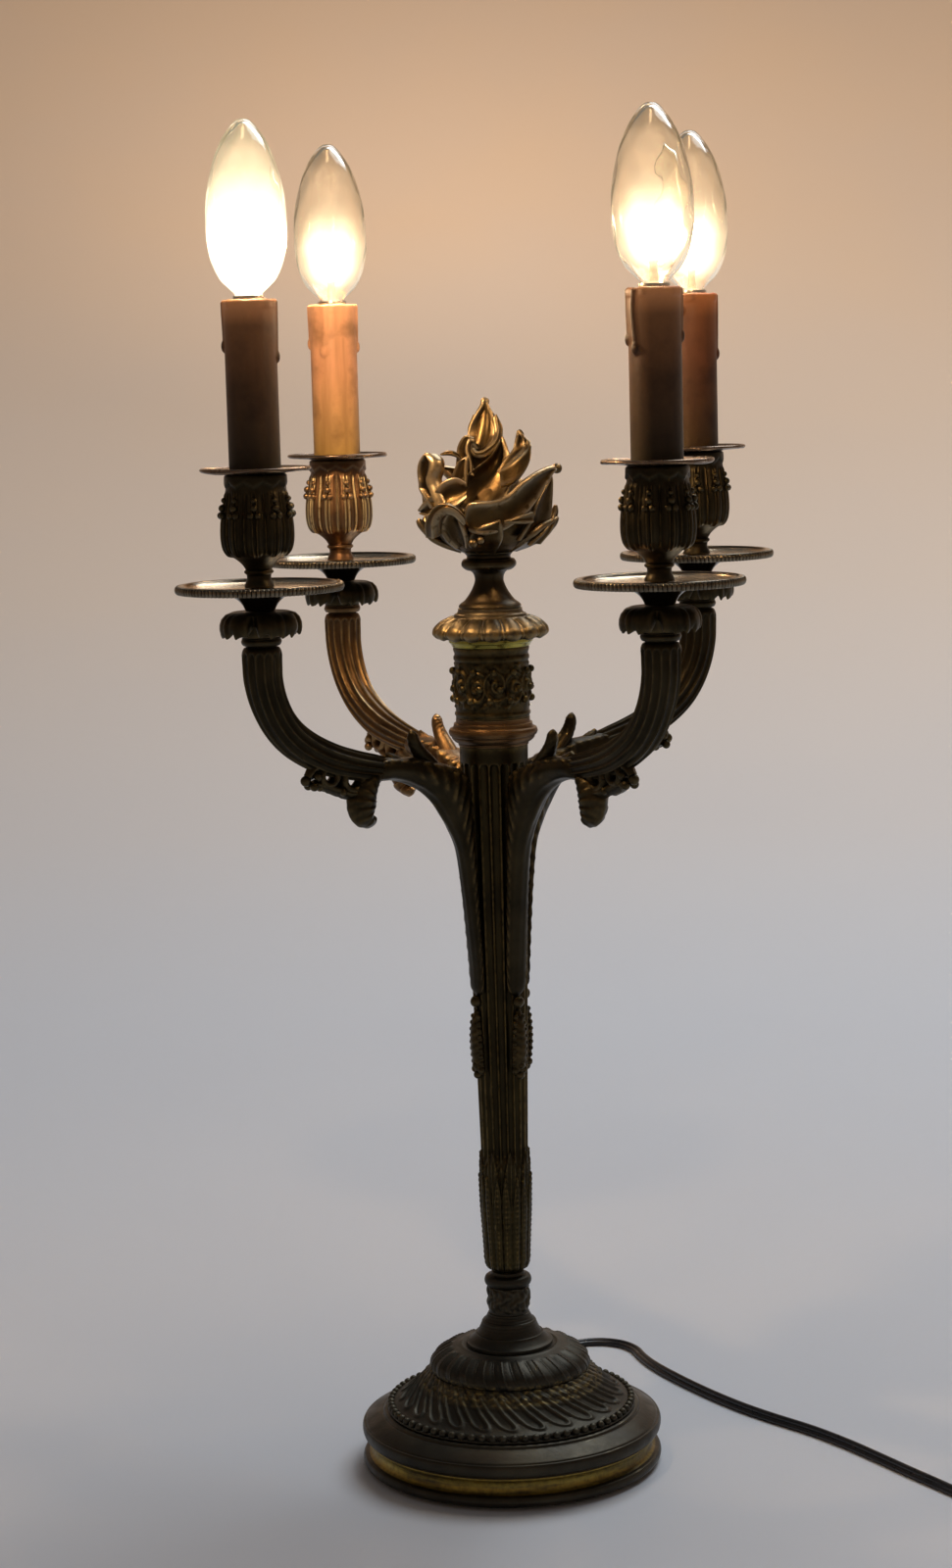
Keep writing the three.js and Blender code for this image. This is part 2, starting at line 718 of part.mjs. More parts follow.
// Pierced scroll under the arm, with a hanging leaf. centre is a point on the arm's middle line.
function scroll([x, , z]) {
  const at = ([out, up]) => [x + out, z + up];
  const plate = upright(
    [
      [13, 3.6],
      [14, -2.4],
      [10.6, -5.8],
      [15.2, -8],
      [12.6, -10.4],
      [6.4, -10.2],
      [3, -13.2],
      [-1.4, -14.8],
      [-6, -14.4],
      [-8, -20],
      [-17, -20],
      [-20, -14],
      [-18, -1],
      [0, 2],
    ].map(at),
    SCROLL_WIDTH,
    [
      [...at([4.6, -6.4]), 1.9],
      [...at([-8.6, -9.2]), 2.6],
    ],
  );
  const leaf = new THREE.SphereGeometry(1, 8, 5).scale(7, 7.5, 9.5).rotateY(0.35);
  return joined([plate, leaf.translate(x - 12, 0, z - 22)]);
}

// Leaf capital on the arm: four drooping lobes round its neck.
function capital() {
  const lobed = (r, a) => (r > nippleBore + 6 ? r * (0.9 + 0.1 * Math.cos(4 * a)) : r);
  const top = capitalZ + CAPITAL_HEIGHT;
  return turned(
    [
      [nippleBore, capitalZ],
      [ARM_RADIUS, capitalZ],
      [ARM_RADIUS, capitalZ + 4.4],
      [CAPITAL_RADIUS - 3, capitalZ + 3],
      [CAPITAL_RADIUS - 1.4, capitalZ - 0.2],
      [CAPITAL_RADIUS, capitalZ + 2],
      [CAPITAL_RADIUS - 0.6, capitalZ + 7],
      [CAPITAL_RADIUS - 5, top - 0.6],
      [nippleBore + 2, top],
      [nippleBore, top],
    ],
    SMALL_SIDES,
    lobed,
  );
}

// Drip pan: a bell foot, a wide shallow dish and a raised rim.
function pan() {
  const rimLow = panZ + PAN_HEIGHT - PAN_RIM;
  const seat = panZ + PAN_HEIGHT - PAN_RIM / 2;
  return turned(
    [
      [nippleBore, panZ],
      [nippleBore + 2.3, panZ],
      [nippleBore + 3.4, panZ + 2.6],
      [nippleBore + 8, rimLow - 1],
      [PAN_RADIUS - 12, rimLow],
      [PAN_RADIUS - 1, rimLow],
      [PAN_RADIUS, rimLow + PAN_RIM / 2],
      [PAN_RADIUS - 1, rimLow + PAN_RIM],
      [PAN_RADIUS - 3.4, rimLow + PAN_RIM],
      [PAN_RADIUS - 5, seat],
      [nippleBore, seat],
    ],
    PAN_SIDES,
  );
}

// Urn-shaped candle cup, hollow from its mouth down.
function cup() {
  const top = cupZ + CUP_HEIGHT;
  const stemFoot = nippleBore + 1.2;
  const mouth = CUP_RADIUS - 3;
  return turned(
    [
      [nippleBore, cupZ],
      [stemFoot, cupZ],
      [stemFoot, cupZ + 6.4],
      [CUP_RADIUS - 6.4, cupZ + 11.9],
      [CUP_RADIUS - 1.4, cupZ + 15.6],
      [CUP_RADIUS, cupZ + 21],
      [CUP_RADIUS - 0.2, cupZ + 28],
      [CUP_RADIUS - 2.4, cupZ + 38.6],
      [mouth, top],
      [mouth - CUP_WALL, top],
      [mouth - CUP_WALL, cupZ + 19],
      [nippleBore, cupZ + 14.4],
    ],
    CUP_SIDES,
  );
}

function bobeche() {
  const top = bobecheZ + BOBECHE_HEIGHT;
  return turned(
    [
      [nippleBore, bobecheZ],
      [SLEEVE_RADIUS + 4, bobecheZ],
      [BOBECHE_RADIUS, top - 0.9],
      [BOBECHE_RADIUS, top],
      [SLEEVE_RADIUS + 3, bobecheFloor],
      [nippleBore, bobecheFloor],
    ],
    COLUMN_SIDES,
  );
}

function sleeve() {
  const inner = SLEEVE_RADIUS - SLEEVE_WALL;
  return turned(
    [
      [inner, sleeveZ],
      [SLEEVE_RADIUS, sleeveZ],
      [SLEEVE_RADIUS, sleeveTop],
      [inner, sleeveTop],
    ],
    CUP_SIDES,
  );
}

// Lamp holder inside the sleeve: its foot screws on the nipple, its mouth takes the bulb's screw cap.
function holder() {
  const top = sleeveTop - HOLDER_RECESS;
  const floor = contactZ - SEAT_GAP;
  return turned(
    [
      [nippleBore, sleeveZ],
      [HOLDER_RADIUS, sleeveZ],
      [HOLDER_RADIUS, top],
      [socketRadius, top],
      [socketRadius, floor],
      [0, floor],
      [0, nippleTop + SEAT_GAP],
      [nippleBore, nippleTop + SEAT_GAP],
    ],
    SMALL_SIDES,
  );
}

const glassNeckRadius = SCREW_CAP_RADIUS - SCREW_CAP_WALL - BORE_GAP;

// Brass screw shell of the bulb, open at the top and drawn in below round the contact's insulator.
function screwCap() {
  const inner = SCREW_CAP_RADIUS - SCREW_CAP_WALL;
  const top = screwCapZ + SCREW_CAP_LENGTH;
  const drawn = screwCapZ + 3.4;
  return turned(
    [
      [0, screwCapZ],
      [CONTACT_RADIUS, screwCapZ],
      [SCREW_CAP_RADIUS, drawn],
      [SCREW_CAP_RADIUS, top],
      [inner, top],
      [inner, drawn + 1],
      [0, drawn + 1],
    ],
    SMALL_SIDES,
  );
}

function contact() {
  const top = contactZ + CONTACT_HEIGHT;
  const low = CONTACT_RADIUS * 0.6;
  return turned(
    [
      [0, contactZ],
      [low, contactZ],
      [CONTACT_RADIUS, top - 0.7],
      [CONTACT_RADIUS, top],
      [0, top],
    ],
    8,
  );
}

// Clear candle bulb: a pear shape that rises to a small pip, open at the neck in the screw shell.
function glass() {
  const shares = [
    [0.1, 0.78],
    [0.2, 0.95],
    [0.34, 1],
    [0.48, 0.97],
    [0.64, 0.83],
    [0.79, 0.56],
    [0.91, 0.26],
  ];
  const wall = (inset) =>
    shares.map(([up, out]) => [BULB_RADIUS * out - inset, glassZ + BULB_HEIGHT * up - inset / 2]);
  const innerNeck = glassNeckRadius - GLASS_WALL;
  const foot = glassZ - GLASS_IN_CAP;
  const tip = glassZ + BULB_HEIGHT;
  return turned(
    [
      [glassNeckRadius, foot],
      [glassNeckRadius, glassZ + 1.2],
      ...wall(0),
      [1.4, tip],
      [0, tip],
      [0, tip - 4],
      ...wall(GLASS_WALL).reverse(),
      [innerNeck, glassZ + 1.6],
      [innerNeck, foot],
    ],
    SMALL_SIDES,
  );
}

// Rubber gland in the foot's hollow band: a flange inside and a tapered sleeve outside.
function gland() {
  const inside = scotiaRadius - FOOT_WALL - 1.4;
  const outside = scotiaRadius + GLAND_LENGTH;
  return turned(
    [
      [0, inside],
      [GLAND_RADIUS, inside],
      [GLAND_RADIUS, outside - GLAND_LENGTH + 1],
      [GLAND_TIP_RADIUS, outside],
      [0, outside],
    ],
    SMALL_SIDES,
  )
    .rotateX(-Math.PI / 2)
    .translate(0, 0, glandZ);
}

// The free flex on the table, with a round section.
function flex() {
  const round = new THREE.Shape(circle(0, 0, CORD_RADIUS, CORD_SIDES));
  const points = CORD_POINTS.map((p) => new THREE.Vector3(...p));
  points[0].set(0, scotiaRadius + GLAND_LENGTH + SEAT_GAP, glandZ);
  const extrudePath = new THREE.CatmullRomCurve3(points);
  return new THREE.ExtrudeGeometry(round, { steps: CORD_STEPS, extrudePath, bevelEnabled: false });
}

function coil() {
  const [x, y] = COIL_CENTRE;
  return turned(
    [
      [COIL_INNER_RADIUS, 0],
      [COIL_OUTER_RADIUS, 0],
      [COIL_OUTER_RADIUS, COIL_HEIGHT],
      [COIL_INNER_RADIUS, COIL_HEIGHT],
    ],
    COLUMN_SIDES,
  ).translate(x, y, 0);
}

// Moulded two-pin plug, lying flat beside the coil with its nose in local +X.
function plugBody() {
  const half = PLUG_WIDTH / 2;
  const rear = PLUG_REAR_WIDTH / 2;
  const shoulder = PLUG_LENGTH * 0.45;
  const corners = [
    [0, -rear],
    [shoulder, -half],
    [PLUG_LENGTH, -half],
    [PLUG_LENGTH, half],
    [shoulder, half],
    [0, rear],
  ];
  const outline = new THREE.Shape(corners.map(([x, y]) => new THREE.Vector2(x, y)));
  return new THREE.ExtrudeGeometry(outline, { depth: PLUG_THICKNESS, bevelEnabled: false });
}

function plugPin(side) {
  return new THREE.CylinderGeometry(PIN_RADIUS, PIN_RADIUS, PIN_LENGTH, 10)
    .rotateZ(Math.PI / 2)
    .translate(PLUG_LENGTH + SEAT_GAP + PIN_LENGTH / 2, (side * PIN_SPACING) / 2, PLUG_THICKNESS / 2);
}

add("base_pad", pad(), "felt");
add("base_foot", foot(), "gilt");
add("base_dome", dome(), "patina");
add("neck_plinth", plinth(), "patina");
add("stem", stem(), "patina");
add("top_collar", collar(), "patina");
add("frieze_drum", frieze(), "patina");
add("brass_ring", brassRing(), "brass");
add("finial_cap", finialCap(), "patina");
add("finial_spool", finialSpool(), "patina");
add("flame", flame(), "patina");
add("tie_rod", rod(), "steel");
add("bottom_nut", nut(bottomNutZ), "steel");
add("top_nut", nut(topNutZ), "steel");

for (const [corner, azimuth] of Object.entries(ARM_AZIMUTHS)) {
  const branch = new THREE.Group();
  branch.rotation.z = THREE.MathUtils.degToRad(azimuth);
  lamp.add(branch);
  add(`arm_${corner}`, arm(), "patina", branch);
  const candle = new THREE.Group();
  candle.position.x = ARM_REACH;
  branch.add(candle);
  add(`capital_${corner}`, capital(), "patina", candle);
  add(`drip_pan_${corner}`, pan(), "patina", candle);
  add(`candle_cup_${corner}`, cup(), "patina", candle);
  add(`bobeche_${corner}`, bobeche(), "gilt", candle);
  add(`candle_sleeve_${corner}`, sleeve(), "wax", candle);
  add(`lamp_holder_${corner}`, holder(), "plastic", candle);
  add(`bulb_cap_${corner}`, screwCap(), "nickel", candle);
  add(`bulb_contact_${corner}`, contact(), "solder", candle);
  add(`bulb_glass_${corner}`, glass(), "glass", candle);
}

add("cord_gland", gland(), "flex");
add("power_cord", flex(), "flex");
add("cord_coil", coil(), "flex");
const plug = new THREE.Group();
const leaving = THREE.MathUtils.degToRad(PLUG_AZIMUTH);
const lastTurn = COIL_OUTER_RADIUS - CORD_RADIUS;
const pastCoil = Math.sqrt((COIL_OUTER_RADIUS + SEAT_GAP) ** 2 - (lastTurn - PLUG_REAR_WIDTH / 2) ** 2);
plug.position.set(
  COIL_CENTRE[0] + lastTurn * Math.cos(leaving) - pastCoil * Math.sin(leaving),
  COIL_CENTRE[1] + lastTurn * Math.sin(leaving) + pastCoil * Math.cos(leaving),
  0,
);
plug.rotation.z = leaving + Math.PI / 2;
lamp.add(plug);
add("plug_body", plugBody(), "flex", plug);
add("plug_pin_left", plugPin(1), "nickel", plug);
add("plug_pin_right", plugPin(-1), "nickel", plug);

export default lamp;
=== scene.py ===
"""Candelabra lamp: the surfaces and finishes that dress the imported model.

Shapes are worked out in millimetres on numpy grids. Meshes are in metres, in the model's own frame.
"""

import logging
import math
from dataclasses import dataclass, field, replace
from enum import Enum
from functools import cache
from typing import Callable, Optional, Sequence, Union

import bpy
import numpy as np
from mathutils import Matrix, Vector


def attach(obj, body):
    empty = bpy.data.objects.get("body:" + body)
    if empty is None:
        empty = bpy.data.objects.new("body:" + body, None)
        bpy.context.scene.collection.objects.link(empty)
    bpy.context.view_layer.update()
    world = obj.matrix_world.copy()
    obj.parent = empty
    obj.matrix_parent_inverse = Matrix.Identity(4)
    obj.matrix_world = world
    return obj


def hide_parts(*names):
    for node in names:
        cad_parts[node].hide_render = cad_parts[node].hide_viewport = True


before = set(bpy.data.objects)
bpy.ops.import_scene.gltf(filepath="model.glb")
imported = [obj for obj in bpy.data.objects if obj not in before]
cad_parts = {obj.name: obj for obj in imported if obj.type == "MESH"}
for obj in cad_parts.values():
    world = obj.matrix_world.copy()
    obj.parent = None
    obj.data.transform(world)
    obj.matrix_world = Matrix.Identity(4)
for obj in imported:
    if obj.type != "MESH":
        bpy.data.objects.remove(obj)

Array = np.ndarray
Number = Union[float, Array]
Colour = tuple[float, float, float]
Socket = bpy.types.NodeSocket
Relief = Callable[[Array, Array, Array], Array]

MILLIMETRE = 0.001
ARM_REACH = 125.0  # millimetres from the lamp's axis to a candle's
BLACK = (0.0, 0.0, 0.0)
TURNED_EDGE, CAST_EDGE, ROUND_EDGE = 38.0, 50.0, 60.0  # degrees from which an edge is drawn sharp
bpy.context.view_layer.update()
log = logging.getLogger("candelabra")


class Corner(Enum):
    """The four arms, with the direction each one points in, in degrees from +X."""

    BACK_RIGHT = 45.0
    BACK_LEFT = 135.0
    FRONT_LEFT = 225.0
    FRONT_RIGHT = 315.0

    @property
    def label(self) -> str:
        """Name of the corner as the model's nodes spell it."""
        return self.name.lower()


# Curves and ornament, as whole arrays


def spline(points: Sequence, per: int = 8) -> Array:
    """Smooth line through points: a list is a smooth point and a tuple is a sharp corner.

    Each stretch is a cubic whose slope at a point is half the step between its two neighbours.

    Args:
        points: Points of any dimension.
        per: Steps between two points.

    Returns:
        The points of the line, from first to last.
    """
    knots = np.asarray(points, float)
    corners = [0, *(i for i, point in enumerate(points) if isinstance(point, tuple)), len(knots) - 1]
    t = np.linspace(0, 1, per, endpoint=False)[:, None]
    stretches = []
    for first, last in zip(corners[:-1], corners[1:]):
        run = knots[first : last + 1]
        if len(run) < 2:
            continue
        ends = np.vstack([2 * run[0] - run[1], run, 2 * run[-1] - run[-2]])
        p0, p1, p2, p3 = (ends[i : len(run) - 1 + i][:, None] for i in range(4))
        curve = p1 + 0.5 * t * (p2 - p0 + t * (2 * p0 - 5 * p1 + 4 * p2 - p3 + t * (3 * (p1 - p2) + p3 - p0)))
        stretches += [curve.reshape(-1, knots.shape[1]), run[-1:]]
    line = np.vstack(stretches)
    fresh = np.r_[True, np.linalg.norm(np.diff(line, axis=0), axis=1) > 1e-6]
    return line[fresh]


def across(angle: Array, count: int) -> Array:
    """Place across each of count equal sectors, from -0.5 to 0.5 with 0 in the middle."""
    return (angle * count / (2 * np.pi)) % 1 - 0.5


def channel(place: Array, width: Number) -> Array:
    """Round hollow: 1 in the middle and 0 from width on, as the upper half of an ellipse."""
    return np.sqrt(np.clip(1 - (place / np.maximum(width, 1e-6)) ** 2, 0, 1))


def tapered(left: Array, over: float) -> Array:
    """1 from over before an end on and 0 at the end, as a quarter of an ellipse in what is left of the way."""
    return channel(np.clip(over - left, 0, over), over)


def ease(value: Array, low: float, high: float) -> Array:
    """0 below low, 1 above high, and an S-curve between them."""
    t = np.clip((value - low) / (high - low), 0, 1)
    return t * t * (3 - 2 * t)


def within(value: Array, low: float, high: float, edge: float) -> Array:
    """1 between low and high, fading to 0 over edge outside them."""
    return ease(value, low - edge, low) * (1 - ease(value, high, high + edge))


def bell(value: Array, width: float) -> Array:
    """Bell curve of height 1 and that half width."""
    return np.exp(-((value / width) ** 2))


def saw(value: Array) -> Array:
    """Wave of period 1 that climbs slowly to 1 and drops back fast to 0."""
    part = value % 1
    return np.where(part < 0.8, part / 0.8, (1 - part) / 0.2)


def round_steps(count: int) -> Array:
    """Angles of count equal steps round the axis, in radians."""
    return np.linspace(0, 2 * np.pi, count, endpoint=False)


def about(radius: Number, height: Number, angle: Number) -> Array:
    """Points at those radii and heights, turned by those angles about the axis."""
    radius, height, angle = np.broadcast_arrays(radius, height, angle)
    return np.stack([radius * np.cos(angle), radius * np.sin(angle), height], -1)


def straight(radius: float, heights: Array) -> Array:
    """Line of [radius, height] at one radius."""
    return np.stack([np.full(len(heights), radius), heights], 1)


def upright(line: Array) -> Array:
    """Points in the plane y = 0, with the line's first two numbers as x and z."""
    return np.stack([line[:, 0], 0 * line[:, 0], line[:, 1]], 1)


def unit(vectors: Array) -> Array:
    """The vectors at length 1."""
    return vectors / np.maximum(np.linalg.norm(vectors, axis=1, keepdims=True), 1e-9)


def travelled(path: Array) -> Array:
    """Distance along a path up to each of its points, as one column."""
    return np.r_[0, np.cumsum(np.linalg.norm(np.diff(path, axis=0), axis=1))][:, None]


@dataclass
class Shape:
    """Points in millimetres with their faces and a share of gilding at each point."""

    points: Array
    quads: Array
    tris: Array
    gild: Array

    def placed(self, turn: float = 0.0, shift: Sequence[float] = (0.0, 0.0, 0.0)) -> "Shape":
        """Moves the shape and then turns it about the lamp's axis.

        Args:
            turn: Degrees, counter-clockwise from above.
            shift: Millimetres along X, Y and Z.

        Returns:
            The moved shape.
        """
        a = math.radians(turn)
        spin = np.array([[math.cos(a), -math.sin(a), 0], [math.sin(a), math.cos(a), 0], [0, 0, 1]])
        return replace(self, points=(self.points + np.asarray(shift)) @ spin.T)

    def outward(self) -> "Shape":
        """Turns the faces round where the sum of the signed volumes under them is negative.

        Returns:
            The shape.
        """
        faces = np.vstack([self.tris, self.quads[:, [0, 1, 2]], self.quads[:, [0, 2, 3]]])
        p, q, r = (self.points[faces[:, i]] for i in range(3))
        if np.einsum("ij,ij->", p, np.cross(q, r)) >= 0:
            return self
        return replace(self, quads=self.quads[:, ::-1], tris=self.tris[:, ::-1])

    def repeated(self, centres: Sequence, sizes: Union[float, Sequence[float]] = 1.0) -> "Shape":
        """Copies of the shape, scaled by sizes and moved to centres.

        Args:
            centres: One point for each copy.
            sizes: One scale for all, or one for each.

        Returns:
            All the copies as one shape.
        """
        centres = np.asarray(centres, float)
        sizes = np.broadcast_to(sizes, len(centres))
        points = (sizes[:, None, None] * self.points + centres[:, None]).reshape(-1, 3)
        offset = np.arange(len(centres))[:, None, None] * len(self.points)
        quads = (self.quads + offset).reshape(-1, 4)
        tris = (self.tris + offset).reshape(-1, 3)
        return Shape(points, quads, tris, np.tile(self.gild, len(centres)))


def joined(shapes: Sequence[Shape]) -> Shape:
    """Several shapes as one.

    Args:
        shapes: The shapes.

    Returns:
        The shape.
    """
    starts = np.cumsum([0] + [len(s.points) for s in shapes[:-1]])
    return Shape(
        np.vstack([s.points for s in shapes]),
        np.vstack([s.quads + n for s, n in zip(shapes, starts)]),
        np.vstack([s.tris + n for s, n in zip(shapes, starts)]),
        np.concatenate([s.gild for s in shapes]),
    )


def surface(grid: Array, gild: Number = 0.0, looped: bool = False, closed: bool = True) -> Shape:
    """Faces over a grid of points whose columns run right round.

    Four neighbours make a face. A row that is all one point becomes a pole, and an open end row gets a fan.

    Args:
        grid: Points as (rows, columns, 3).
        gild: Share of gilding, for the whole or for each point.
        looped: The last row joins the first one.
        closed: The end rows are closed, and the faces are turned outwards.

    Returns:
        The shape.
    """
    rows, columns = grid.shape[:2]
    single = np.ptp(grid, axis=1).max(axis=1) < 1e-6
    counts = np.where(single, 1, columns)
    starts = np.concatenate([[0], np.cumsum(counts)[:-1]])
    index = starts[:, None] + np.where(single[:, None], 0, np.arange(columns)[None, :])
    kept = ~single[:, None] | (np.arange(columns)[None, :] == 0)
    points = grid[kept]
    share = np.broadcast_to(gild, (rows, columns))[kept]
    low, high = (index, np.roll(index, -1, axis=0)) if looped else (index[:-1], index[1:])
    quads = np.stack([low, np.roll(low, -1, 1), np.roll(high, -1, 1), high], -1).reshape(-1, 4)
    foot = quads[:, 0] == quads[:, 1]
    head = quads[:, 2] == quads[:, 3]
    tris = [quads[foot & ~head][:, [0, 2, 3]], quads[head & ~foot][:, [0, 1, 2]]]
    quads = quads[~foot & ~head]
    if closed and not looped:
        for row, order in ((0, [1, 0, 2]), (rows - 1, [0, 1, 2])):
            if not single[row]:
                ring = index[row]
                centre = np.full(columns, len(points))
                tris.append(np.stack([ring, np.roll(ring, -1), centre], -1)[:, order])
                points = np.vstack([points, grid[row].mean(axis=0)])
                share = np.append(share, share[ring].mean())
    shape = Shape(points, quads, np.vstack(tris), share)
    return shape.outward() if closed else shape


def turned(
    outer: Array,
    inner: Sequence = (),
    sides: int = 96,
    relief: Optional[Relief] = None,
    gild: Optional[Relief] = None,
) -> Shape:
    """A turned piece: a line of [radius, height] carried round the axis.

    The relief lifts the outer line's points along the line's own normal, by an amount that depends on
    radius, height and angle.

    Args:
        outer: The outside, from low to high.
        inner: The inside, from high to low, which closes the outline. Without it the ends close on themselves.
        sides: Faces round the axis.
        relief: Lift in millimetres at (radius, height, angle).
        gild: Share of gilding at (radius, height, angle).

    Returns:
        The shape.
    """
    line = np.vstack([outer, np.asarray(inner, float)]) if len(inner) else np.asarray(outer, float)
    angle = round_steps(sides)[None, :]
    slope = unit(np.gradient(line, axis=0))
    radius = np.repeat(line[:, :1], sides, 1)
    height = np.repeat(line[:, 1:], sides, 1)
    outside = np.arange(len(line))[:, None] < len(outer)
    lift = np.where(outside & (radius > 1e-6), relief(radius, height, angle) if relief else 0.0, 0.0)
    share = np.where(outside, gild(radius, height, angle) if gild else 0.0, 0.0)
    radius = radius + lift * slope[:, 1:]
    height = height - lift * slope[:, :1]
    return surface(about(radius, height, angle), share, looped=len(inner) > 0)


def carried(path: Array, section: Array, side: Sequence = (0.0, 1.0, 0.0), gild: Number = 0.0) -> Shape:
    """A bar: a closed section carried along a path.

    The section's first number runs along side, squared up to the path. The second runs along the path's
    heading crossed with that.

    Args:
        path: Points of the path.
        section: (columns, 2), or (rows, columns, 2) where it changes on the way.
        side: Direction of the section's width, for the whole path or for each point.
        gild: Share of gilding, for the whole or for each point.

    Returns:
        The shape.
    """
    heading = unit(np.gradient(path, axis=0))
    side = np.broadcast_to(np.asarray(side, float), path.shape)
    width = unit(side - heading * np.sum(side * heading, axis=1, keepdims=True))
    depth = np.cross(heading, width)
    ring = np.broadcast_to(section, (len(path),) + section.shape[-2:])
    grid = path[:, None] + ring[..., :1] * width[:, None] + ring[..., 1:] * depth[:, None]
    return surface(grid, gild)


def oval(columns: int) -> tuple[Array, Array]:
    """Cosine and sine of columns equal steps round a circle."""
    angle = round_steps(columns)
    return np.cos(angle), np.sin(angle)


def ball(columns: int = 8, rows: int = 6) -> Shape:
    """Unit sphere with flat faces: sine and cosine of equal steps from pole to pole.

    Args:
        columns: Faces round it.
        rows: Faces from pole to pole.

    Returns:
        The shape.
    """
    a = np.linspace(-np.pi / 2, np.pi / 2, rows + 1)
    line = np.stack([np.cos(a), np.sin(a)], 1)
    line[[0, -1], 0] = 0
    return turned(line, sides=columns)


def leaf(
    stations: Sequence, columns: int = 20, per: int = 7, teeth: float = 0.0, rib: float = 0.5, gild: float = 0.0
) -> Shape:
    """A cast leaf: a lens-shaped section carried along a bent midrib in the plane y = 0.

    The half width is the stations' own, cut back by a saw wave for the teeth. The thickness grows by a
    bell curve along the midrib and by fine veins that slant from it.

    Args:
        stations: Rows of [x, z, half width, half thickness].
        columns: Points round the section.
        per: Steps between two stations.
        teeth: How deep the teeth cut, as a share of the half width.
        rib: Height of the midrib in millimetres.
        gild: Share of gilding along the veins.

    Returns:
        The shape.
    """
    line = spline(stations, per)
    path = upright(line)
    way = travelled(path)
    c, s = oval(columns)
    half = np.maximum(line[:, 2:3], 0.05) * (1 - teeth * saw(way / 3.6))
    veins = 0.5 + 0.5 * np.cos(2 * np.pi * (way / 2.6 + 0.8 * np.abs(c)))
    fade = np.clip(half / 3, 0, 1) * (np.abs(c) < 0.98)
    thick = np.maximum(line[:, 3:4], 0.05) + fade * (rib * bell(c, 0.2) + 0.22 * veins)
    section = np.stack([half * c, thick * s * np.sqrt(np.abs(s) + 0.15)], -1)
    return carried(path, section, gild=gild * veins * fade)


# Finishes


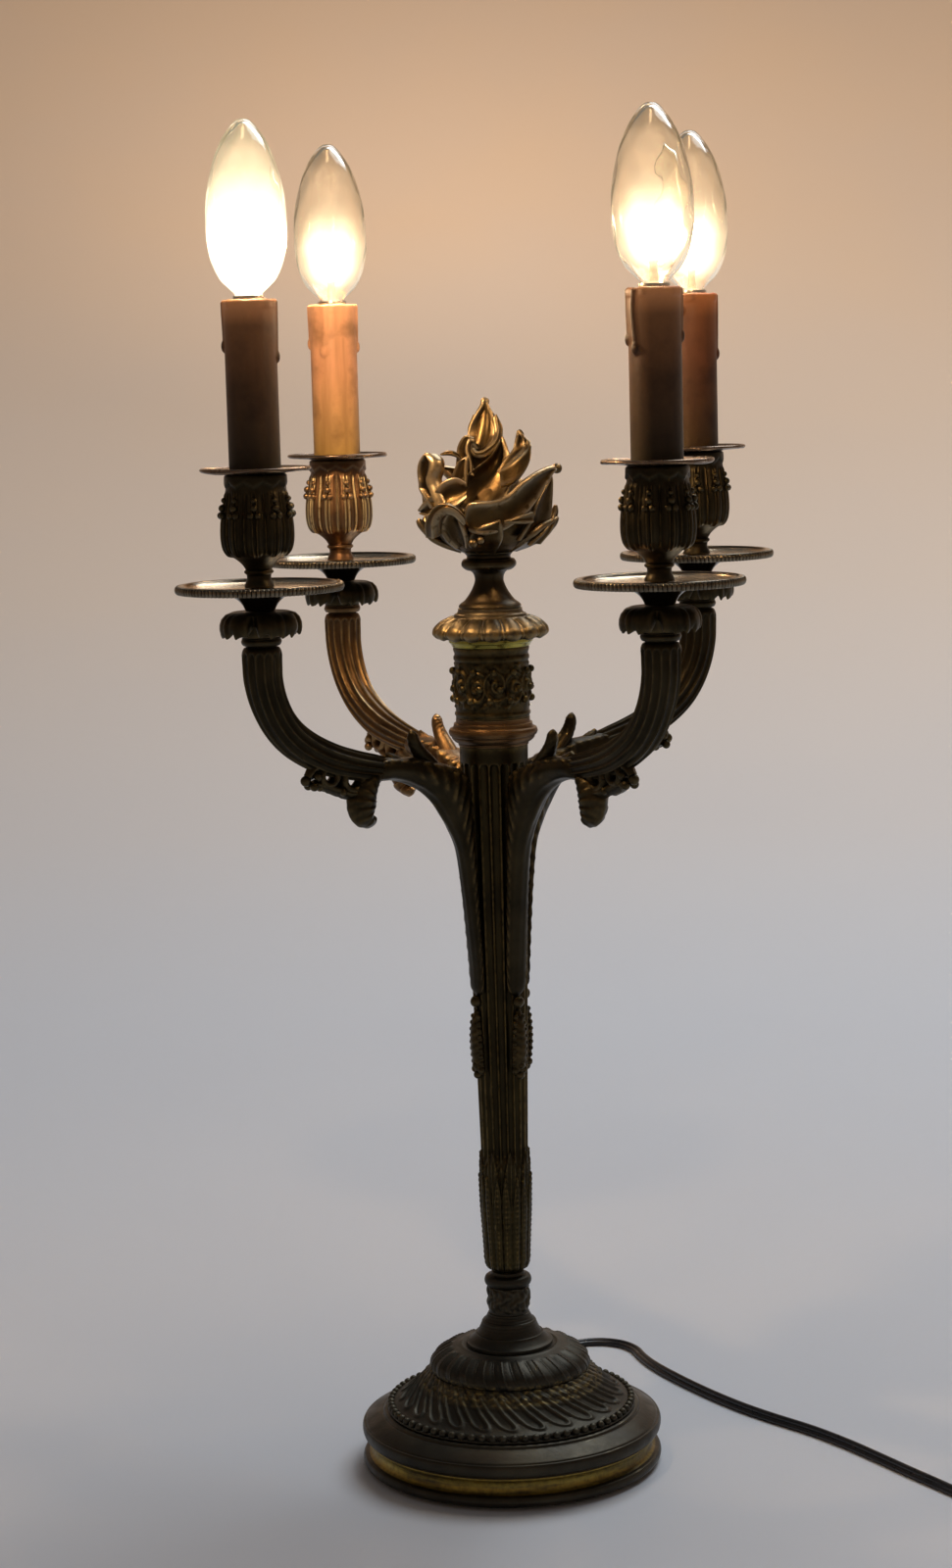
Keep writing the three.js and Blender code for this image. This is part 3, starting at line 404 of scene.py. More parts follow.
class Recipe:
    """One node material while it is put together."""

    def __init__(self, name: str) -> None:
        """Starts a material of that name with its shader.

        Args:
            name: Name of the material.
        """
        self.material = bpy.data.materials.new(name)
        self.material.use_nodes = True
        self.tree = self.material.node_tree
        self.shader = self.tree.nodes["Principled BSDF"]
        self.place = self.add("ShaderNodeTexCoord").outputs["Object"]

    def add(self, kind: str, feeds: Optional[dict] = None, **settings: object) -> bpy.types.Node:
        """Adds a node.

        Args:
            kind: Type of the node.
            feeds: What goes into its sockets, by their name or number.
            **settings: Its settings by name.

        Returns:
            The node.
        """
        node = self.tree.nodes.new(kind)
        for key, value in settings.items():
            setattr(node, key, value)
        for key, value in (feeds or {}).items():
            self.feed(node.inputs[key], value)
        return node

    def feed(self, socket: Socket, value: object) -> None:
        """Links a socket to value, or sets it where value is a number or a colour.

        Args:
            socket: Where it goes in.
            value: Socket, number or colour.
        """
        if isinstance(value, Socket):
            self.tree.links.new(value, socket)
        elif hasattr(value, "__len__") and len(value) == 3 and len(socket.default_value) == 4:
            socket.default_value = (*value, 1.0)
        else:
            socket.default_value = value

    def noise(self, scale: float, detail: float = 3.0, stretch: Optional[Sequence[float]] = None) -> Socket:
        """Noise in the object's own space.

        Args:
            scale: Cells in a metre.
            detail: Octaves.
            stretch: Scale along each axis first.

        Returns:
            The socket of its height.
        """
        place = self.place
        if stretch is not None:
            place = self.add("ShaderNodeMapping", {"Vector": place, "Scale": stretch}).outputs["Vector"]
        return self.add("ShaderNodeTexNoise", {"Vector": place, "Scale": scale, "Detail": detail}).outputs["Fac"]

    def ramp(self, value: Socket, stops: Sequence[tuple[float, object]]) -> Socket:
        """Colour or number that changes with value.

        Args:
            value: The socket that steers it.
            stops: Pairs of place and number or colour.

        Returns:
            The socket of the result.
        """
        node = self.add("ShaderNodeValToRGB", {"Fac": value})
        points = node.color_ramp.elements
        while len(points) < len(stops):
            points.new(0.5)
        for point, (place, colour) in zip(points, stops):
            point.position = place
            point.color = (*colour, 1.0) if hasattr(colour, "__len__") else (colour, colour, colour, 1.0)
        return node.outputs["Color"]

    def patches(
        self, scale: float, detail: float, span: Sequence[float], ends: Sequence[float] = (0.0, 1.0)
    ) -> Socket:
        """Noise drawn out to patches.

        Args:
            scale: Cells in a metre.
            detail: Octaves.
            span: Heights of the noise between which the number changes.
            ends: The number below that span and above it.

        Returns:
            The socket of the number.
        """
        return self.ramp(self.noise(scale, detail), list(zip(span, ends)))

    def mixed(self, share: object, first: object, second: object) -> Socket:
        """Mixes two colours.

        Args:
            share: 0 for the first and 1 for the second.
            first: Colour or socket.
            second: Colour or socket.

        Returns:
            The socket of the result.
        """
        return self.add("ShaderNodeMix", {0: share, 6: first, 7: second}, data_type="RGBA").outputs[2]

    def sum(self, how: str, first: object, second: object) -> Socket:
        """Works out one number from two and keeps it within 0 and 1.

        Args:
            how: The operation, such as MULTIPLY.
            first: Number or socket.
            second: Number or socket.

        Returns:
            The socket of the result.
        """
        return self.add("ShaderNodeMath", {0: first, 1: second}, operation=how, use_clamp=True).outputs[0]

    def gild(self) -> Socket:
        """Socket of the share of gilding stored at the piece's points."""
        return self.add("ShaderNodeAttribute", attribute_name="gild").outputs["Fac"]

    def edges(self) -> Socket:
        """Socket that lies above a half on edges and below it in hollows."""
        return self.add("ShaderNodeNewGeometry").outputs["Pointiness"]

    def level(self, low: float, top: float) -> Socket:
        """Height above the table, as a share of a span.

        Args:
            low: Height of share 0, in metres.
            top: Height of share 1, in metres.

        Returns:
            The socket of the result.
        """
        height = self.add("ShaderNodeSeparateXYZ", {0: self.place}).outputs["Z"]
        return self.add("ShaderNodeMapRange", {"Value": height, "From Min": low, "From Max": top}).outputs["Result"]

    def bumped(self, value: object, strength: float, distance: float) -> None:
        """Raises the surface where a value is high.

        Args:
            value: Number or socket.
            strength: How much of it shows, from 0 to 1.
            distance: Rise in metres at strength 1.
        """
        node = self.add("ShaderNodeBump", {"Height": value, "Strength": strength, "Distance": distance})
        self.feed(self.shader.inputs["Normal"], node.outputs["Normal"])

    def done(self, **values: object) -> bpy.types.Material:
        """Feeds the shader's sockets, named with underscores for spaces, and gives the material.

        Args:
            **values: Socket, number or colour by the socket's name.

        Returns:
            The material.
        """
        for key, value in values.items():
            self.feed(self.shader.inputs[key.replace("_", " ")], value)
        return self.material


def shaded(colour: Colour, factor: float) -> Colour:
    """The colour with every part of it times factor."""
    return tuple(factor * part for part in colour)


@dataclass(frozen=True)
class Patina:
    """Cast or turned metal under a brown skin, rubbed on its edges and gilt where the points say so."""

    name: str
    deep: Colour
    warm: Colour
    rubbed: Colour
    gilt: Colour = (0.62, 0.40, 0.13)
    wear: float = 0.75
    smooth: float = 0.30
    dull: float = 0.52
    worn_gilt: float = 0.47

    def material(self) -> bpy.types.Material:
        """Patches of two browns, darker in hollows, lighter on edges, with gilding broken up by wear.

        Returns:
            The material.
        """
        r = Recipe(self.name)
        tone = r.mixed(r.patches(48, 5, (0.36, 0.66)), self.deep, self.warm)
        edge = r.edges()
        scuffs = r.patches(210, 4, (0.38, 0.62), (0.25, 1.0))
        rub = r.sum("MULTIPLY", r.ramp(edge, [(0.505, 0.0), (0.56, self.wear)]), scuffs)
        tone = r.mixed(rub, tone, self.rubbed)
        tone = r.mixed(r.ramp(edge, [(0.42, 1.0), (0.492, 0.0)]), tone, shaded(self.deep, 0.35))
        flakes = r.patches(330, 6, (self.worn_gilt - 0.09, self.worn_gilt + 0.07))
        tone = r.mixed(r.sum("MULTIPLY", r.gild(), flakes), tone, self.gilt)
        gloss = r.patches(90, 4, (0.3, 0.72), (self.smooth, self.dull))
        r.bumped(r.noise(900, 4), 0.25, 0.0004)
        return r.done(Base_Color=tone, Metallic=0.92, Roughness=gloss)


@dataclass(frozen=True)
class Gilding:
    """Worn gold in streaks round the foot's hollow band, over the brown skin."""

    name: str
    skin: Colour
    warm: Colour
    gold: Colour

    def material(self) -> bpy.types.Material:
        """Gold where the points say so, broken up by streaks that run round the foot.

        Returns:
            The material.
        """
        r = Recipe(self.name)
        tone = r.mixed(r.patches(40, 4, (0.38, 0.7)), self.skin, self.warm)
        tone = r.mixed(r.ramp(r.edges(), [(0.51, 0.0), (0.6, 0.6)]), tone, shaded(self.warm, 3.2))
        streaks = r.ramp(r.noise(26, 6, (1.0, 1.0, 14.0)), [(0.30, 0.1), (0.50, 1.0)])
        worn = r.sum("MULTIPLY", streaks, r.patches(420, 4, (0.3, 0.6), (0.5, 1.0)))
        gold = r.mixed(r.noise(70, 3), self.gold, shaded(self.gold, 0.55))
        tone = r.mixed(r.sum("MULTIPLY", r.gild(), worn), tone, gold)
        gloss = r.patches(110, 4, (0.3, 0.7), (0.34, 0.54))
        r.bumped(r.noise(700, 4), 0.2, 0.0004)
        return r.done(Base_Color=tone, Metallic=0.92, Roughness=gloss)


@dataclass(frozen=True)
class Plain:
    """A smooth moulded, spun or plated finish with faint patches and grain."""

    name: str
    colour: Colour
    metal: float = 0.0
    gloss: float = 0.4
    patch: float = 0.25
    grain: float = 600.0
    relief: float = 0.1

    def material(self) -> bpy.types.Material:
        """The colour and a darker shade of it in soft patches, with a fine grain.

        Returns:
            The material.
        """
        r = Recipe(self.name)
        tone = r.mixed(r.patches(70, 5, (0.35, 0.7)), self.colour, shaded(self.colour, 1 - self.patch))
        gloss = r.patches(160, 3, (0.3, 0.7), (0.85 * self.gloss, min(1.15 * self.gloss, 1.0)))
        r.bumped(r.noise(self.grain, 4), self.relief, 0.0004)
        return r.done(Base_Color=tone, Metallic=self.metal, Roughness=gloss)


@dataclass(frozen=True)
class Felt:
    """Short matted fibres."""

    name: str
    colour: Colour

    def material(self) -> bpy.types.Material:
        """Fine mottled wool with a soft sheen.

        Returns:
            The material.
        """
        r = Recipe(self.name)
        tone = r.mixed(r.noise(2600, 3), self.colour, shaded(self.colour, 2.2))
        r.bumped(r.noise(3200, 2), 0.6, 0.0006)
        return r.done(Base_Color=tone, Roughness=0.95, Sheen_Weight=0.4)


@dataclass(frozen=True)
class Wax:
    """Ivory sleeve with stained wax, and a painted glow: emission towards its top that stands in for the light of the
    lamp above.
    """

    name: str
    ivory: Colour
    foot: Colour
    # Colour of the stains, and of the painted shade on the drips.
    stain_and_shade: Colour
    # glow: colour of the painted glow, emission for the bulb's light on the sleeve's top.
    glow: Colour
    low: float = 0.480
    top: float = 0.5536

    def material(self) -> bpy.types.Material:
        """Ivory, darker towards the foot, with brown stains and painted shade on the drips, and a painted glow that
        grows towards the top and skips the drips.

        Returns:
            The material.
        """
        r = Recipe(self.name)
        level = r.level(self.low, self.top)
        blots = r.patches(75, 5, (0.42, 0.72), (0.0, 0.8))
        streaks = r.ramp(r.noise(30, 5, (6.0, 6.0, 0.6)), [(0.4, 0.0), (0.7, 0.5)])
        tone = r.mixed(r.ramp(level, [(0.0, 0.0), (0.6, 1.0)]), self.foot, self.ivory)
        # Random stains, and the drips, whose darkening is partly painted shade.
        marks = r.sum("MAXIMUM", r.sum("MAXIMUM", blots, streaks), r.gild())
        tone = r.mixed(marks, tone, self.stain_and_shade)
        # Painted glow: emission that grows towards the top for the bulb's light falling on the sleeve; none on the
        # drips.
        painted_glow_share = r.ramp(level, [(0.0, 0.0), (0.5, 0.03), (0.85, 0.18), (1.0, 0.8)])
        light = r.mixed(r.gild(), r.mixed(painted_glow_share, BLACK, self.glow), BLACK)
        r.bumped(r.noise(260, 4), 0.25, 0.0006)
        return r.done(
            Base_Color=tone, Roughness=0.45, Specular_IOR_Level=0.2, Emission_Color=light, Emission_Strength=0.5
        )


@dataclass(frozen=True)
class Glass:
    """Thin clear glass with a white cloud of light round the filament, and a pale veil all over."""

    name: str
    tint: Colour
    veil: Colour
    glow: Colour
    spread: float
    low: float
    top: float
    strength: float

    def material(self) -> bpy.types.Material:
        """Clear glass; the cloud fades with the height and with the slant of the glass.

        Returns:
            The material.
        """
        r = Recipe(self.name)
        stops = [(0.0, 0.25), (0.10, 0.6), (0.22, 1.0), (0.38, 0.9), (0.50, 0.34), (0.60, 0.10), (0.70, 0.03),
                 (0.85, 0.0)]
        rise = r.ramp(r.level(self.low, self.top), stops)
        slant = r.add("ShaderNodeLayerWeight", {"Blend": 0.5}).outputs["Facing"]
        stops = [(0.15 * self.spread, 1.0), (0.5 * self.spread, 0.35), (self.spread, 0.0)]
        cloud = r.sum("MULTIPLY", rise, r.ramp(slant, stops))
        light = r.mixed(cloud, self.veil, self.glow)
        return r.done(
            Base_Color=self.tint,
            Roughness=0.02,
            IOR=1.45,
            Transmission_Weight=1.0,
            Emission_Color=light,
            Emission_Strength=self.strength,
        )


@dataclass(frozen=True)
class Glow:
    """A part that is white hot."""

    name: str
    colour: Colour
    strength: float

    def material(self) -> bpy.types.Material:
        """Light, a little uneven along the wire.

        Returns:
            The material.
        """
        r = Recipe(self.name)
        tone = r.mixed(r.noise(500, 2), self.colour, shaded(self.colour, 0.8))
        return r.done(Base_Color=self.colour, Emission_Color=tone, Emission_Strength=self.strength)


Finish = Union[Patina, Gilding, Plain, Felt, Wax, Glass, Glow]

BRONZE = Patina("brown_bronze", (0.021, 0.0165, 0.0085), (0.043, 0.033, 0.0165), (0.155, 0.115, 0.052), wear=0.5)
FOOT_BRONZE = Patina(
    "foot_bronze", (0.034, 0.031, 0.024), (0.060, 0.053, 0.039), (0.14, 0.125, 0.085), (0.42, 0.30, 0.10),
    wear=0.45, smooth=0.42, dull=0.58,
)
STEM_BRONZE = Patina("stem_bronze", (0.025, 0.019, 0.009), (0.047, 0.036, 0.014), (0.19, 0.14, 0.055), wear=0.65)
COPPERY = Patina("coppery_bronze", (0.085, 0.047, 0.020), (0.17, 0.093, 0.038), (0.50, 0.32, 0.14), smooth=0.28)
SPOOL_BRONZE = Patina("spool_bronze", (0.036, 0.025, 0.012), (0.072, 0.050, 0.023), (0.36, 0.27, 0.13), smooth=0.24)
CAP_BRONZE = Patina(
    "cap_bronze", (0.078, 0.060, 0.033), (0.140, 0.108, 0.060), (0.50, 0.41, 0.26), wear=0.9, smooth=0.36, dull=0.50
)
FLAME_BRONZE = Patina(
    "flame_bronze", (0.034, 0.020, 0.007), (0.105, 0.063, 0.021), (0.40, 0.29, 0.145), (0.42, 0.32, 0.19),
    wear=0.85, smooth=0.28, dull=0.46, worn_gilt=0.40,
)
ROSY_BRASS = Patina(
    "rosy_brass", (0.10, 0.066, 0.045), (0.20, 0.135, 0.090), (0.50, 0.36, 0.25), smooth=0.18, dull=0.34
)
# Its gilt colour is a painted reflection of the bright wall, put in the pan's dish.
PAN_BRONZE = Patina(
    "pan_bronze", (0.060, 0.046, 0.030), (0.11, 0.085, 0.053), (0.32, 0.27, 0.19), (0.52, 0.42, 0.30),
    wear=0.7, smooth=0.10, dull=0.24, worn_gilt=0.30,
)
# Lit copy of the cups' bronze for the back-left corner: painted light, with pale gilt lines.
LIT_CUP_BRONZE = Patina(
    "lit_cup_bronze", (0.085, 0.045, 0.022), (0.17, 0.090, 0.042), (0.50, 0.33, 0.16), (0.80, 0.66, 0.36), worn_gilt=0.36
)
FOOT_GILDING = Gilding("gilt_foot", (0.034, 0.030, 0.023), (0.062, 0.053, 0.036), (0.50, 0.36, 0.075))
BARE_BRASS = Plain("bare_brass", (0.42, 0.36, 0.08), metal=1.0, gloss=0.22, patch=0.45)
STEEL = Plain("zinc_steel", (0.5, 0.5, 0.48), metal=1.0, gloss=0.4)
NICKEL = Plain("nickel_plate", (0.60, 0.56, 0.48), metal=1.0, gloss=0.25)
SOLDER = Plain("dull_solder", (0.42, 0.42, 0.41), metal=1.0, gloss=0.5)
PHENOLIC = Plain("holder_moulding", (0.62, 0.57, 0.46), gloss=0.35)
MOUNT_GLASS = Plain("mount_glass", (0.25, 0.2, 0.15), gloss=0.1, patch=0.2)
FLEX_RUBBER = Plain("flex_sheath", (0.010, 0.011, 0.014), gloss=0.3, patch=0.3, relief=0.06)
PLUG_PLASTIC = Plain("plug_moulding", (0.014, 0.012, 0.011), gloss=0.38, patch=0.3)
FELT = Felt("green_felt", (0.02, 0.035, 0.024))
# One wax in copies that paint light and shade: shaded at the front, lit at the back left, dimly lit at the back
# right.
SHADED_WAX = Wax("wax_sleeve", (0.082, 0.039, 0.016), (0.029, 0.023, 0.010), (0.018, 0.010, 0.006), (0.50, 0.19, 0.07))
LIT_WAX = Wax("lit_wax_sleeve", (0.58, 0.29, 0.155), (0.36, 0.235, 0.07), (0.15, 0.08, 0.03), (0.8, 0.30, 0.11))
DIMLY_LIT_WAX = Wax("dimly_lit_wax_sleeve", (0.10, 0.036, 0.016), (0.055, 0.036, 0.015), (0.03, 0.012, 0.006), (0.6, 0.17, 0.04))
BULB_GLASS = Glass(
    "bulb_glass", (1.0, 0.97, 0.91), (0.020, 0.015, 0.008), (0.62, 0.50, 0.32),
    spread=0.36, low=0.5545, top=0.6250, strength=1.5,
)
FULL_GLASS = Glass(
    "bulb_glass_full", (1.0, 0.97, 0.91), (0.038, 0.034, 0.020), (0.62, 0.52, 0.36),
    spread=1.0, low=0.5400, top=0.6560, strength=1.7,
)
HOT_WIRE = Glow("hot_filament", (1.0, 0.80, 0.50), 30.0)


@dataclass(frozen=True)
class Setting:
    """What differs from one corner to the next: its bulb's watts, its wax drips and its finishes, whose lit and
    shaded copies paint light and shade: lit at the back left, shaded elsewhere.

    A drip is its angle in degrees, its length and its thickness in millimetres.
    """

    watts: float
    drips: tuple[tuple[float, float, float], ...]
    # The finishes and gilt shares below paint light and shade: shaded copies by default, lit ones at the back left.
    arm: Patina = BRONZE
    arm_gilt: float = 0.036
    cup: Patina = BRONZE
    cup_gilt_and_light: float = 0.06
    wax: Wax = SHADED_WAX
    # How dark the drips are: partly stain, partly painted shade; little on the lit back-left corner.
    drip_stain_and_shade: float = 0.7
    glass: Glass = BULB_GLASS


# The back-left corner gets the lit copies; the others keep the shaded ones as painted shade.
SETTINGS = {
    Corner.BACK_RIGHT: Setting(0.45, ((324.0, 30.0, 1.2), (200.0, 9.0, 1.0), (120.0, 8.0, 1.0)), wax=DIMLY_LIT_WAX),
    Corner.BACK_LEFT: Setting(
        1.0, ((234.0, 22.0, 1.2), (125.0, 24.0, 1.1), (54.0, 20.0, 1.1), (330.0, 12.0, 1.0)),
        arm=COPPERY, arm_gilt=0.6, cup=LIT_CUP_BRONZE, cup_gilt_and_light=1.0, wax=LIT_WAX, drip_stain_and_shade=0.15,
    ),
    Corner.FRONT_LEFT: Setting(1.7, ((324.0, 21.0, 1.2), (144.0, 26.0, 1.1), (250.0, 12.0, 1.0)), glass=FULL_GLASS),
    Corner.FRONT_RIGHT: Setting(
        0.35, ((273.0, 27.0, 1.6), (234.0, 23.0, 1.2), (54.0, 22.0, 1.1), (160.0, 10.0, 1.0))
    ),
}


@cache
def painted(finish: Finish) -> bpy.types.Material:
    """The finish's material, made once."""
    return finish.material()


def mesh_of(name: str, shape: Shape, sharp: float) -> bpy.types.Object:
    """A mesh object from a shape, in metres, with smooth faces and sharp edges past an angle.

    Args:
        name: Name of the object.
        shape: Points and faces in millimetres.
        sharp: Angle in degrees from which an edge is drawn sharp.

    Returns:
        The object, in the scene.
    """
    mesh = bpy.data.meshes.new(name)
    corners = np.concatenate([shape.quads.ravel(), shape.tris.ravel()]).astype(np.int32)
    sizes = np.r_[np.full(len(shape.quads), 4), np.full(len(shape.tris), 3)]
    mesh.vertices.add(len(shape.points))
    mesh.vertices.foreach_set("co", (shape.points * MILLIMETRE).astype(np.float32).ravel())
    mesh.loops.add(len(corners))
    mesh.loops.foreach_set("vertex_index", corners)
    mesh.polygons.add(len(sizes))
    mesh.polygons.foreach_set("loop_start", np.r_[0, np.cumsum(sizes)[:-1]].astype(np.int32))
    mesh.polygons.foreach_set("use_smooth", np.ones(len(sizes), bool))
    mesh.update(calc_edges=True)
    mesh.attributes.new("gild", "FLOAT", "POINT").data.foreach_set("value", shape.gild.astype(np.float32))
    mesh.set_sharp_from_angle(angle=math.radians(sharp))
    piece = bpy.data.objects.new(name, mesh)
    bpy.context.scene.collection.objects.link(piece)
    return piece


def dressed(
    name: str,
    shape: Shape,
    finish: Finish,
    body: str,
    nodes: Sequence[str] = (),
    sharp: float = TURNED_EDGE,
) -> bpy.types.Object:
    """A finished piece: mesh, material, the body it rides on and the solids it stands for.

    Args:
        name: Name of the piece.
        shape: Points and faces in millimetres.
        finish: Finish that gives the material.
        body: Body of the model that carries it.
        nodes: Nodes of the model that it replaces.
        sharp: Angle in degrees from which an edge is drawn sharp.

    Returns:
        The piece.
    """
    piece = mesh_of(name, shape, sharp)
    piece.data.materials.append(painted(finish))
    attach(piece, body)
    if nodes:
        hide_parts(*nodes)
    log.info("%s: %d points", name, len(shape.points))
    return piece


def repaint(node: str, finish: Finish) -> None:
    """Gives a node that stays as the model has it a finish of its own.

    Args:
        node: Name of the node.
        finish: Finish that gives the material.
    """
    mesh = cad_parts[node].data
    mesh.materials.clear()
    mesh.materials.append(painted(finish))
    log.info("%s: repainted", node)


@dataclass
class OnArm:
    """A sub-assembly that comes four times, once at each corner."""

    corner: Corner
    reach: float = field(default=ARM_REACH, kw_only=True)

    @property
    def setting(self) -> Setting:
        """What sets this corner apart."""
        return SETTINGS[self.corner]

    def put(
        self,
        name: str,
        shape: Shape,
        finish: Finish,
        slot: str,
        node: str = "",
        sharp: float = TURNED_EDGE,
        body: str = "lamp",
        out: bool = True,
    ) -> bpy.types.Object:
        """Finishes a piece at its corner, whose label ends the piece's name and its node's.

        Args:
            name: Name of the piece without the label.
            shape: The shape round the lamp's own axis, or along +X from it.
            finish: Finish that gives the material.
            slot: Name of a material slot; not used.
            node: Node of the model that it replaces, without the label.
            sharp: Angle in degrees from which an edge is drawn sharp.
            body: Body of the model that carries it.
            out: The shape first moves out to the arm's end.

        Returns:
            The piece.
        """
        label = self.corner.label
        there = shape.placed(self.corner.value, (self.reach if out else 0.0, 0.0, 0.0))
        nodes = (f"{node}_{label}",) if node else ()
        return dressed(f"{name}_{label}", there, finish, body, nodes, sharp)


# Studio


@dataclass
class Studio:
    """Camera at the photograph's angle, a pale floor that curves up all round, and soft light.

    The camera and the lights are in metres and degrees, the floor is in millimetres.
    """

    eye: tuple[float, float, float] = (0.2264, -1.4214, 0.5257)
    heading: tuple[float, float] = (-0.1633, 0.9866)
    pitch: float = 7.8
    roll: float = 1.58
    lens: float = 71.27
    floor_radius: float = 900.0
    wall_radius: float = 4200.0
    wall_height: float = 3400.0
    filament_height: float = 0.580
    filament_radius: float = 0.008

    def camera(self) -> None:
        """Sets the camera: looks along heading, down by pitch, rolled so that the lamp leans to the left."""
        p, q = math.radians(self.pitch), math.radians(self.roll)
        forward = Vector((self.heading[0] * math.cos(p), self.heading[1] * math.cos(p), -math.sin(p)))
        right = forward.cross(Vector((0, 0, 1))).normalized()
        up = right.cross(forward)
        rolled_up = up * math.cos(q) + right * math.sin(q)
        rolled_right = right * math.cos(q) - up * math.sin(q)
        data = bpy.data.cameras.new("camera")
        data.lens = self.lens
        data.sensor_width = 36.0
        data.clip_end = 50.0
        camera = bpy.data.objects.new("camera", data)
        bpy.context.scene.collection.objects.link(camera)
        spin = Matrix((rolled_right, rolled_up, -forward)).transposed().to_4x4()
        camera.matrix_world = Matrix.Translation(self.eye) @ spin
        bpy.context.scene.camera = camera

    def floor(self) -> None:
        """The floor: a flat disc that rises in a quarter circle to a wall all round; its colour warms with height, a
        painted glow of the bulbs on the wall.
        """
        bend = self.wall_radius - self.floor_radius
        a = np.linspace(0, np.pi / 2, 48)
        curve = np.stack([self.floor_radius + bend * np.sin(a), bend - bend * np.cos(a)], 1)
        disc = np.stack([np.linspace(0, self.floor_radius, 12), np.zeros(12)], 1)
        wall = straight(self.wall_radius, np.linspace(bend, self.wall_height, 7)[1:])
        line = np.vstack([disc[:-1], curve, wall])
        grid = about(line[:, :1], line[:, 1:], round_steps(96)[None, :])
        ground = mesh_of("floor", surface(grid, closed=False), ROUND_EDGE)
        r = Recipe("pale_floor")
        # Painted light: the colour runs from bluish on the floor to warm peach up the wall, for the bulbs' glow on
        # it.
        stops = [
            (0.0, (0.70, 0.72, 0.76)), (0.06, (0.73, 0.69, 0.67)),
            (0.22, (0.78, 0.66, 0.56)), (0.6, (0.84, 0.62, 0.44)),
        ]
        tone = r.ramp(r.level(0.0, 1.2), stops)
        tone = r.mixed(r.patches(3, 3, (0.3, 0.7), (0.0, 0.12)), tone, (0.6, 0.6, 0.64))
        ground.data.materials.append(r.done(Base_Color=tone, Roughness=0.6, Specular_IOR_Level=0.3))

    def lamp(
        self, name: str, place: Sequence[float], aim: Sequence[float], size: float, power: float, colour: Colour
    ) -> None:
        """A soft square light.

        Args:
            name: Name of the light.
            place: Where it stands, in metres.
            aim: The point that it faces.
            size: Side in metres.
            power: Watts.
            colour: Its colour.
        """
        data = bpy.data.lights.new(name, "AREA")
        data.shape = "SQUARE"
        data.size = size
        data.energy = power
        data.color = colour
        light = bpy.data.objects.new(name, data)
        light.location = place
        light.rotation_euler = (Vector(aim) - Vector(place)).to_track_quat("-Z", "Y").to_euler()
        bpy.context.scene.collection.objects.link(light)

    def bulb_light(self, corner: Corner) -> None:
        """Warm light from inside one of the four bulbs.

        Args:
            corner: The arm that the bulb stands on.
        """
        data = bpy.data.lights.new(f"bulb_light_{corner.label}", "POINT")
        data.energy = SETTINGS[corner].watts
        data.color = (1.0, 0.66, 0.36)
        data.shadow_soft_size = self.filament_radius
        light = bpy.data.objects.new(data.name, data)
        light.location = about(ARM_REACH * MILLIMETRE, self.filament_height, math.radians(corner.value))
        bpy.context.scene.collection.objects.link(light)

    def build(self) -> None:
        """Sets up the camera, the floor, the world and the lights."""
        self.camera()
        self.floor()
        world = bpy.data.worlds.new("world")
        world.use_nodes = True
        sky = world.node_tree.nodes["Background"].inputs
        sky["Color"].default_value = (0.86, 0.92, 1.0, 1.0)
        sky["Strength"].default_value = 0.10
        bpy.context.scene.world = world
        bpy.context.scene.view_settings.view_transform = "Standard"
        self.lamp("sky_panel", (0.6, 1.3, 2.4), (0.1, 0.2, 0.0), 1.6, 38.0, (0.86, 0.93, 1.0))
        self.lamp("wall_panel", (0.05, 1.7, 2.0), (0.0, 3.3, 0.9), 1.2, 9.5, (1.0, 0.84, 0.66))
        self.lamp("halo_panel", (-0.48, 2.5, 1.15), (-0.52, 3.9, 1.1), 0.5, 1.55, (1.0, 0.80, 0.60))
        for corner in Corner:
            self.bulb_light(corner)
        log.info("studio: camera, floor and lights")


# Flex


